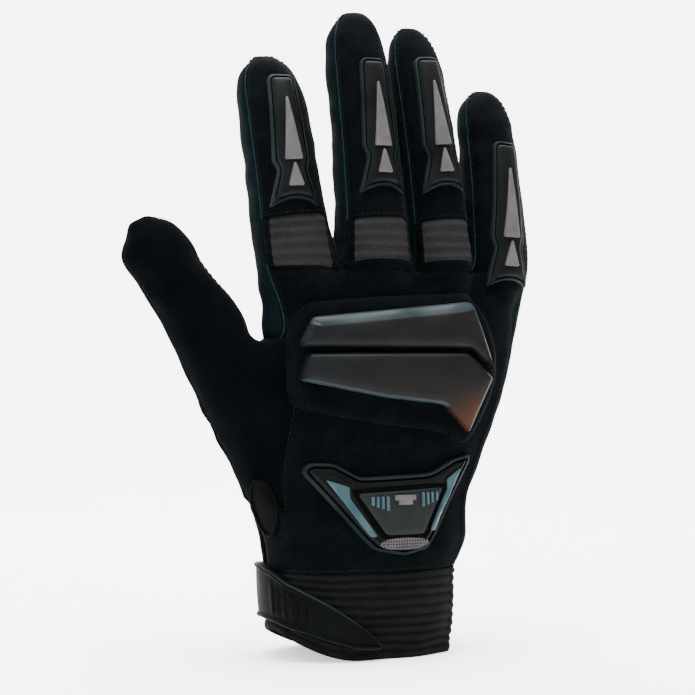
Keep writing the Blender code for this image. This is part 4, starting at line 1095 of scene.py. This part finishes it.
def cloth_panel(bm, number, name, finishes, ribs=0, height=0.0, borders=None):
    """One panel of the skin with its thickness, and elastic ribs where it has them.

    borders: share of the width at each side, and of the height at the foot, in the second finish.
    """
    mesh = bpy.data.meshes.new(name)
    part = bm.copy()
    others = [f for f in part.faces if f.material_index != number]
    bmesh.ops.delete(part, geom=others, context="FACES")
    for face in part.faces:
        face.material_index = 0
        face.smooth = True
    part.to_mesh(mesh)
    part.free()
    mesh.materials.clear()
    for finish in finishes:
        mesh.materials.append(finish)
    piece = shown(name, mesh)
    if ribs:
        cut = piece.modifiers.new("finer", "SUBSURF")
        cut.subdivision_type = "SIMPLE"
        cut.levels = cut.render_levels = RIB_CUTS
        baked(piece)
        mesh = piece.data
        level = [0.0] * len(mesh.vertices)
        for loop in mesh.loops:
            level[loop.vertex_index] = mesh.uv_layers[0].data[loop.index].uv.y
        low, high = min(level), max(level)
        normals = [n.vector.copy() for n in mesh.vertex_normals]
        rises = mesh.attributes.new("rib_rise", "FLOAT", "POINT")
        for vertex, normal, here in zip(mesh.vertices, normals, level):
            place = ribs * (here - low) / (high - low)
            wobble = noise.noise(vertex.co / RIB_WOBBLE_SIZE) * RIB_WOBBLE
            rise = abs(math.sin(math.pi * (place + wobble))) ** RIB_ROUNDNESS
            rises.data[vertex.index].value = rise
            vertex.co += normal * height * (rise - RIB_SINK)
    if borders:
        flat = mesh.uv_layers[0].data
        corners = [[flat[i].uv.copy() for i in p.loop_indices] for p in mesh.polygons]
        widest = max(uv.x for face in corners for uv in face)
        tallest = max(uv.y for face in corners for uv in face)
        for polygon, face in zip(mesh.polygons, corners):
            across = sum(uv.x for uv in face) / len(face) / widest
            along = sum(uv.y for uv in face) / len(face) / tallest
            if abs(across - 0.5) > 0.5 - borders[0] or along < borders[1]:
                polygon.material_index = 1
    wall = piece.modifiers.new("wall", "SOLIDIFY")
    wall.thickness = WALL
    wall.offset = -1
    wall.use_even_offset = False
    baked(piece)
    keep_piece(piece, name)
    return piece


def stitch_tree():
    """Geometry nodes: short stitches, one behind the other, along every run of points."""
    tree = bpy.data.node_groups.new("stitches", "GeometryNodeTree")
    face = tree.interface
    face.new_socket("Geometry", in_out="INPUT", socket_type="NodeSocketGeometry")
    for name in ("Pitch", "Length", "Radius"):
        face.new_socket(name, in_out="INPUT", socket_type="NodeSocketFloat")
    face.new_socket("Finish", in_out="INPUT", socket_type="NodeSocketMaterial")
    face.new_socket("Geometry", in_out="OUTPUT", socket_type="NodeSocketGeometry")

    given = add(tree, "NodeGroupInput")
    curve = add(tree, "GeometryNodeMeshToCurve", {0: given["Geometry"]})[0]
    spacing = {"Curve": curve, "Length": given["Pitch"]}
    spaced = add(tree, "GeometryNodeResampleCurve", spacing, mode="LENGTH")[0]
    tangent = add(tree, "GeometryNodeInputTangent")[0]
    turn = add(tree, "FunctionNodeAlignRotationToVector", {"Vector": tangent}, axis="Z")[0]
    bead = add(tree, "GeometryNodeMeshUVSphere", {"Segments": 6, "Rings": 4, "Radius": given["Radius"]})[0]
    long = add(tree, "Math", {0: given["Length"], 1: given["Radius"]}, operation="DIVIDE")[0]
    size = add(tree, "CombineXYZ", {"X": 1.0, "Y": 1.0, "Z": long})[0]
    bead = add(tree, "GeometryNodeTransform", {"Geometry": bead, "Scale": size})[0]
    laying = {"Points": spaced, "Instance": bead, "Rotation": turn}
    laid = add(tree, "GeometryNodeInstanceOnPoints", laying)[0]
    real = add(tree, "GeometryNodeRealizeInstances", {0: laid})[0]
    dressed = add(tree, "GeometryNodeSetMaterial", {"Geometry": real, "Material": given["Finish"]})[0]
    add(tree, "NodeGroupOutput", {0: dressed})
    return tree


def stitch_row(name, runs, tree, finish, pitch, length, radius):
    """Stitches along runs of points as one piece."""
    points = [p for run in runs for p in run]
    edges, first = [], 0
    for run in runs:
        edges += [(first + i, first + i + 1) for i in range(len(run) - 1)]
        first += len(run)
    mesh = bpy.data.meshes.new(name)
    mesh.from_pydata(points, edges, [])
    piece = shown(name, mesh)
    nodes = piece.modifiers.new("stitches", "NODES")
    nodes.node_group = tree
    values = {"Pitch": pitch, "Length": length, "Radius": radius, "Finish": finish}
    for socket in tree.interface.items_tree:
        if socket.name in values and socket.in_out == "INPUT":
            nodes[socket.identifier] = values[socket.name]
    baked(piece)
    piece.data.shade_smooth()
    keep_piece(piece)
    return piece


def seam_runs(bm, one, other, offset, lift):
    """The seam between panel one and the others, as runs of points offset into panel one."""
    links, places = {}, {}
    for edge in bm.edges:
        marks = [f.material_index for f in edge.link_faces]
        if len(marks) != 2 or one not in marks or not (set(marks) - {one}) & other:
            continue
        inner = edge.link_faces[marks.index(one)]
        middle = (edge.verts[0].co + edge.verts[1].co) / 2
        along = (edge.verts[1].co - edge.verts[0].co).normalized()
        into = inner.normal.cross(along).normalized()
        if into.dot(inner.calc_center_median() - middle) < 0:
            into.negate()
        for vertex in edge.verts:
            links.setdefault(vertex, []).append(edge)
            places.setdefault(vertex, []).append(into * offset + inner.normal * lift)
    runs, used = [], set()
    starts = sorted(links, key=lambda v: (len(links[v]), v.index))
    for start in starts:
        here, run = start, [start]
        while True:
            onward = [e for e in links[here] if e not in used]
            if not onward:
                break
            used.add(onward[0])
            here = onward[0].other_vert(here)
            run.append(here)
        if len(run) > 4:
            runs.append([v.co + sum(places[v], Vector()) / len(places[v]) for v in run])
    return runs


def edge_line(stations, width, height):
    """The outline of a piece drawn as stations: its lower edge, then its upper edge back."""
    low = [(s.across * width, s.low * height) for s in stations]
    high = [(s.across * width, s.high * height) for s in reversed(stations)]
    return low + high


def guard_line(finger):
    sides = [(s.half * GUARD_WIDTH, -s.along * GUARDS[finger.name].long) for s in GUARD_SECTIONS]
    low = sides[-1]
    hollow = [(low[0] * t, low[1] + GUARD_NOTCH * (1 - t * t)) for t in (-0.6, -0.2, 0.2, 0.6)]
    return [(-u, v) for u, v in sides] + hollow + list(reversed(sides))


def wedge_line(finger, share):
    """A tapered inlay of a guard, near a point at its top."""
    top, bottom, half = share
    wide = half * GUARD_WIDTH
    top, bottom = -top * GUARDS[finger.name].long, -bottom * GUARDS[finger.name].long
    return [(-wide, bottom), (wide, bottom), (wide * INLAY_POINT, top), (-wide * INLAY_POINT, top)]


def oval_line(u, v, width, height):
    turns = [2 * math.pi * i / 40 for i in range(40)]
    return [(u + math.cos(t) * width / 2, v + math.sin(t) * height / 2) for t in turns]


def tree_of(piece):
    points = [v.co.copy() for v in piece.data.vertices]
    return BVHTree.FromPolygons(points, [tuple(p.vertices) for p in piece.data.polygons])


def make_guards(tree):
    """The finger guards: a thin flange, a groove painted darker as painted shade, and a raised body, with two
    grey inlays.
    """
    for finger in FINGERS:
        plane = guard_plane(finger)
        line = rounded(guard_line(finger), 1.2 * MM)
        name = f"guard_{finger.name}"
        finishes = [RUBBER, DARK_RUBBER_AND_GROOVE_SHADE, RIM_RUBBER]
        guard = relief(name, line, GUARD_PROFILE, plane, tree, LAY_GAP, finishes, name, grid=2 * MM)
        top = tree_of(guard)
        for label, share in (("long", LONG_INLAY), ("short", SHORT_INLAY)):
            line = rounded(wedge_line(finger, share), 0.8 * MM, 1.0 * MM)
            name = f"inlay_{label}_{finger.name}"
            relief(name, line, INLAY_PROFILE, plane, top, LAY_GAP, [INLAY], name, grid=1.5 * MM)


def make_knuckles(tree):
    """The quilted pad over the knuckles and its two hard bevelled plates, with a painted highlight on the
    bevels of the sides that catch the light.
    """
    plane = Plane(Vector((PAD_LEFT, 0, PAD_LOW)), Vector((1, 0, 0)), Vector((0, 0, 1)))
    line = rounded(edge_line(PAD_STATIONS, PAD_WIDTH, PAD_REACH), 6 * MM)

    def crown(u, v, edge):
        quilt = math.sin(2 * math.pi * (v * PAD_QUILT_UP + u * PAD_QUILT_ACROSS) / PAD_QUILT_PITCH)
        swell = min(edge / (9 * MM), 1.0) * PAD_CROWN
        return swell + quilt * min(edge / (5 * MM), 1.0) * PAD_QUILT_HEIGHT

    name = "knuckle_pad"
    pad = relief(name, line, PAD_PROFILE, plane, tree, LAY_GAP, [PAD_KNIT], name, shape=crown)

    # Painted highlight: only these sides of the plates get the lighter bevel finish, where light catches
    # them.
    pale = {"upper": lambda way: way.y < -0.45 or way.x < -0.8, "lower": lambda way: way.y > 0.8}
    for name, stations in (("upper", UPPER_PLATE_STATIONS), ("lower", LOWER_PLATE_STATIONS)):
        line = rounded(edge_line(stations, PAD_WIDTH, PAD_REACH), 1.6 * MM)

        def facets(u, v, edge):
            return min(edge / (8 * MM), 1.0) * PLATE_CROWN

        def wide(way, name=name):
            return PLATE_WIDE_BEVEL if name == "upper" and way.y < -0.45 else PLATE_NARROW_BEVEL

        node = f"knuckle_plate_{name}"
        relief(node, line, PLATE_PROFILE, plane, tree, LAY_GAP + PAD_HEIGHT, [SHELL, BEVEL_HIGHLIGHT], node,
               grid=3 * MM, shape=facets, weight=wide, pale=pale[name], span=PLATE_SPAN)


def make_badge(tree):
    """The moulded wrist badge, left without lettering: rims, grooves with painted shade, a painted shadow
    round the plain plate, stripes, bars and oval.
    """
    plane = Plane(Vector((BADGE_LEFT, 0, BADGE_LOW)), Vector((1, 0, 0)), Vector((0, 0, 1)))
    line = rounded(edge_line(BADGE_STATIONS, BADGE_WIDTH, BADGE_REACH), 1.6 * MM)
    finishes = [RUBBER, DARK_RUBBER_AND_GROOVE_SHADE, RIM_RUBBER]
    badge = relief("badge_base", line, BADGE_PROFILE, plane, tree, LAY_GAP, finishes, "badge_base",
                   grid=2.2 * MM)
    top = tree_of(badge)

    def corners(shares):
        return [(u * BADGE_WIDTH, v * BADGE_REACH) for u, v in shares]

    def trim(name, line, base, finish, radius=0.8 * MM):
        line = rounded(line, radius, 0.9 * MM)
        return relief(name, line, TRIM_PROFILE, plane, base, LAY_GAP, [finish], name, grid=1.6 * MM)

    # Painted shadow: a thin dark sheet round the core plate stands for the shade in the recess there.
    line = rounded(corners(BADGE_PAINTED_SHADOW), 2 * MM)
    relief("badge_recess", line, PAINTED_SHADOW_PROFILE, plane, top, LAY_GAP, [DARK_RUBBER_AND_GROOVE_SHADE], grid=1.6 * MM)
    core = trim("badge_core", corners(BADGE_CORE), top, PLATE_PRINT, 1.6 * MM)
    core_top = tree_of(core)
    trim("badge_stripe_left", corners(BADGE_STRIPE_LEFT), top, STRIPE)
    trim("badge_stripe_right", corners(BADGE_STRIPE_RIGHT), top, STRIPE)
    tab = [(u * BADGE_WIDTH, v * BADGE_REACH) for u, v in BADGE_TAB]
    trim("badge_tab", tab, core_top, INLAY, 0.3 * MM)
    u, v, width, height = BADGE_OVAL
    line = oval_line(u * BADGE_WIDTH, v * BADGE_REACH, width * BADGE_WIDTH, height * BADGE_REACH)
    trim("badge_oval", line, top, OVAL_MESH)
    for side, first in (("left", BADGE_BAR_LEFT), ("right", BADGE_BAR_RIGHT)):
        inwards = 1 if side == "left" else -1
        for number in range(BADGE_BARS):
            u = first * BADGE_WIDTH + inwards * number * BADGE_BAR_PITCH
            high = BADGE_BAR_TOP[side] * BADGE_REACH
            low = high - (BADGE_BAR_LENGTH + number * BADGE_BAR_GROWTH) * BADGE_REACH
            half = BADGE_BAR_WIDTH / 2
            name = f"badge_bar_{side}_{number + 1}"
            bar = [(u - half, low), (u + half, low), (u + half, high), (u - half, high)]
            trim(name, bar, core_top, STRIPE, 0.3 * MM)


def make_strap(tree):
    """The closing strap: a welted rubber band, corrugated where it turns round the thumb side."""
    wrist = -HAND_SECTIONS[0].left * KNUCKLE_WIDTH
    low, high = [], []
    for station in STRAP_STATIONS:
        angle = math.radians(station.around)
        level = hem_height(-math.sin(angle) * wrist) + station.low * CUFF_HEIGHT
        low.append((-angle * WRAP_RADIUS, level))
        high.append((-angle * WRAP_RADIUS, station.high * CUFF_HEIGHT))
    line = rounded([*reversed(low), *high], 1.2 * MM)

    def corrugation(u, v, edge):
        place = math.degrees(-u / WRAP_RADIUS)
        near = min(1.0, max(0.0, (STRAP_CORRUGATED_HALF - abs(place - STRAP_CORRUGATED)) / 2))
        bar = math.sin(2 * math.pi * u / STRAP_BAR_PITCH) * near * STRAP_BAR_HEIGHT
        return bar * min(edge / STRAP_BAR_FADE, 1.0)

    lift = STRAP_LIFT + CUFF_RIB_HEIGHT
    relief("wrist_strap", line, STRAP_PROFILE, Wrap(), tree, lift, [STRAP_RUBBER, STRAP_EDGE], "wrist_strap",
           grid=0.75 * MM, shape=corrugation)


def make_root_patch(tree):
    """The small oval pad at the root of the thumb, inside a piped rim."""
    facing = math.radians(ROOT_PATCH_FACING)
    plane = Plane(ROOT_PATCH_PLACE, Vector((math.cos(facing), -math.sin(facing), 0)), Vector((0, 0, 1)))
    line = rounded(oval_line(0, 0, ROOT_PATCH_WIDTH, ROOT_PATCH_REACH), 1.0 * MM)
    name = "thumb_root_patch"
    relief(name, line, ROOT_PATCH_PROFILE, plane, tree, LAY_GAP, [DARK_RUBBER_AND_GROOVE_SHADE, STRAP_RUBBER], name,
           grid=1.5 * MM)


def make_binding(bm):
    """The folded tape round the hem, with a soft cross-section."""
    links = {}
    for edge in bm.edges:
        if len(edge.link_faces) == 1:
            for vertex in edge.verts:
                links.setdefault(vertex, []).append(edge)
    start = min(links, key=lambda v: (v.co.y, v.index))
    hem, here, edge = [start.co.copy()], start, links[start][0]
    while True:
        here = edge.other_vert(here)
        if here is start:
            break
        hem.append(here.co.copy())
        edge = next(e for e in links[here] if e is not edge)
    centre = sum(hem, Vector()) / len(hem)
    points, faces, flats = [], [], []
    for i, point in enumerate(hem):
        out = (hem[(i + 1) % len(hem)] - hem[i - 1]).cross(Vector((0, 0, 1))).normalized()
        if out.dot(point - centre) < 0:
            out.negate()
        middle = point - out * WALL / 2 - Vector((0, 0, BINDING_HEIGHT / 2))
        for k in range(BINDING_SIDES):
            turn = 2 * math.pi * k / BINDING_SIDES
            across, up = math.cos(turn), math.sin(turn)
            side = math.copysign(abs(across) ** BINDING_ROUNDNESS, across) * BINDING_THICKNESS / 2
            rise = math.copysign(abs(up) ** BINDING_ROUNDNESS, up) * BINDING_HEIGHT / 2
            points.append(middle + out * side + Vector((0, 0, rise)))
    along = 0.0
    for i in range(len(hem)):
        j = (i + 1) % len(hem)
        run = (hem[j] - hem[i]).length
        for k in range(BINDING_SIDES):
            n = (k + 1) % BINDING_SIDES
            low, high = i * BINDING_SIDES, j * BINDING_SIDES
            faces.append((low + k, high + k, high + n, low + n))
            side, wide = k * 0.8 * MM, (k + 1) * 0.8 * MM
            flats.append(((along, side), (along + run, side), (along + run, wide), (along, wide)))
        along += run
    turn_outward(new_piece("cuff_binding", points, faces, flats, [BINDING], None, "cuff_binding").data)


PANEL_FINISH = {
    "palm": SUEDE, "thumb_back": SUEDE, "thumb_palm": SUEDE,
    "cuff_palm": ELASTIC, "cuff_back": ELASTIC,
    "index_side": SIDE_MESH, "little_side": SIDE_MESH,
}

bm, panel_names = smooth_skin(build_skin())
cloth = BVHTree.FromBMesh(bm)
sink_seams(bm)
for number, name in enumerate(panel_names):
    finish = PANEL_FINISH.get(name, SIDE_MESH if name.startswith("fourchette") else KNIT)
    if name.startswith("stretch"):
        borders = (STRETCH_SIDES, STRETCH_FOOT[name])
        cloth_panel(bm, number, name, [ACCORDION, KNIT], STRETCH_RIBS, STRETCH_RIB_HEIGHT, borders)
    elif name == "cuff_back":
        cloth_panel(bm, number, name, [finish], CUFF_RIBS, CUFF_RIB_HEIGHT)
    else:
        cloth_panel(bm, number, name, [finish])
make_guards(cloth)
make_knuckles(cloth)
make_badge(cloth)
make_strap(cloth)
make_root_patch(cloth)
make_binding(bm)

stitches = stitch_tree()
marks = {name: number for number, name in enumerate(panel_names)}
sides = {marks[n] for n in panel_names if "side" in n or n.startswith("fourchette")}
backs = [n for n in panel_names if n.startswith("finger_back") or n == "hand_back"]
rows = [("stitches", name, sides | {marks["palm"], marks["thumb_back"]}, BACK_SEAM) for name in backs]
rows += [("stitches", name, sides | {marks["thumb_palm"]}, PALM_SEAM) for name in ("palm", "thumb_back")]
for finger in ("index", "middle", "ring"):
    rows.append(("stitches", f"above_stretch_{finger}", {marks[f"stretch_{finger}"]}, STRETCH_SEAM))
rows += [("piping", panel_names[number], {marks[n] for n in backs}, PIPING) for number in sorted(sides)]
rows.append(("stitches", "cuff", {marks["cuff_back"]}, CUFF_SEAM))
for label, name, others, seam in rows:
    panel = "hand_back" if name == "cuff" else name.replace("above_stretch", "finger_back")
    runs = seam_runs(bm, marks[panel], others, seam.offset * MM, seam.lift * MM)
    finish = TEAL_THREAD if seam is PIPING else THREAD
    stitch_row(f"{label}_{name}", runs, stitches, finish, seam.pitch * MM, seam.length * MM, seam.radius * MM)
bm.free()


def area_light(name, place, aim, size, watts):
    light = bpy.data.lights.new(name, "AREA")
    light.size = size
    light.energy = watts
    lamp = shown(name, light)
    lamp.location = place
    lamp.rotation_euler = (aim - place).to_track_quat("-Z", "Y").to_euler()


def floor_and_backdrop():
    """A pale sheet under and behind the glove, curved up at the back."""
    points, faces = [], []
    rows = [(-1.6, 0.0), (0.5, 0.0)]
    for step in range(1, BACKDROP_STEPS + 1):
        turn = step / BACKDROP_STEPS * math.pi / 2
        rows.append((0.5 + math.sin(turn) * 0.5, 0.5 - math.cos(turn) * 0.5))
    rows.append((1.0, 2.2))
    for y, z in rows:
        points += [(-2.2, y, z), (2.2, y, z)]
    faces = [(2 * i, 2 * i + 1, 2 * i + 3, 2 * i + 2) for i in range(len(rows) - 1)]
    mesh = bpy.data.meshes.new("backdrop")
    mesh.from_pydata(points, [], faces)
    mesh.shade_smooth()
    glow = {"emission_color": (1.0, 1.0, 1.0, 1.0), "emission_strength": 0.9}
    paper, put, shader, place = start("matte_paper", 0.9, 0.5, **glow)
    fibre = put("TexNoise", {"Vector": place, "Scale": 1 / (60 * MM), "Detail": 3.0, "Roughness": 0.55})[0]
    shade_and_emboss(put, shader, fibre, (0.3, 0.7), colour("f6f6f5"), colour("fbfbfa"), fibre, 0.1 * MM)
    mesh.materials.append(paper)
    sheet = shown("backdrop", mesh)
    sheet.rotation_euler = (0, 0, math.radians(CAMERA_AZIMUTH))


floor_and_backdrop()
turn = math.radians(CAMERA_AZIMUTH)
towards = Vector((math.sin(turn), -math.cos(turn), 0))
right = Vector((math.cos(turn), math.sin(turn), 0))
aim = right * CAMERA_SHIFT + Vector((0, 0, CAMERA_LEVEL))
lens = bpy.data.cameras.new("camera")
lens.lens = CAMERA_LENS
camera = shown("camera", lens)
camera.location = aim + towards * CAMERA_AWAY
camera.rotation_euler = (-towards).to_track_quat("-Z", "Y").to_euler()
bpy.context.scene.camera = camera

middle = Vector((0, 0, GLOVE_MIDDLE))
for light in LIGHTS:
    place = middle + towards * light.ahead + right * light.aside + Vector((0, 0, light.up))
    area_light(light.name, place, middle - towards * light.aim_behind, light.size, light.watts)
world = bpy.data.worlds.new("studio")
world.use_nodes = True
world.node_tree.nodes["Background"].inputs["Color"].default_value = (1.0, 1.0, 1.0, 1.0)
world.node_tree.nodes["Background"].inputs["Strength"].default_value = WORLD_LIGHT
bpy.context.scene.world = world
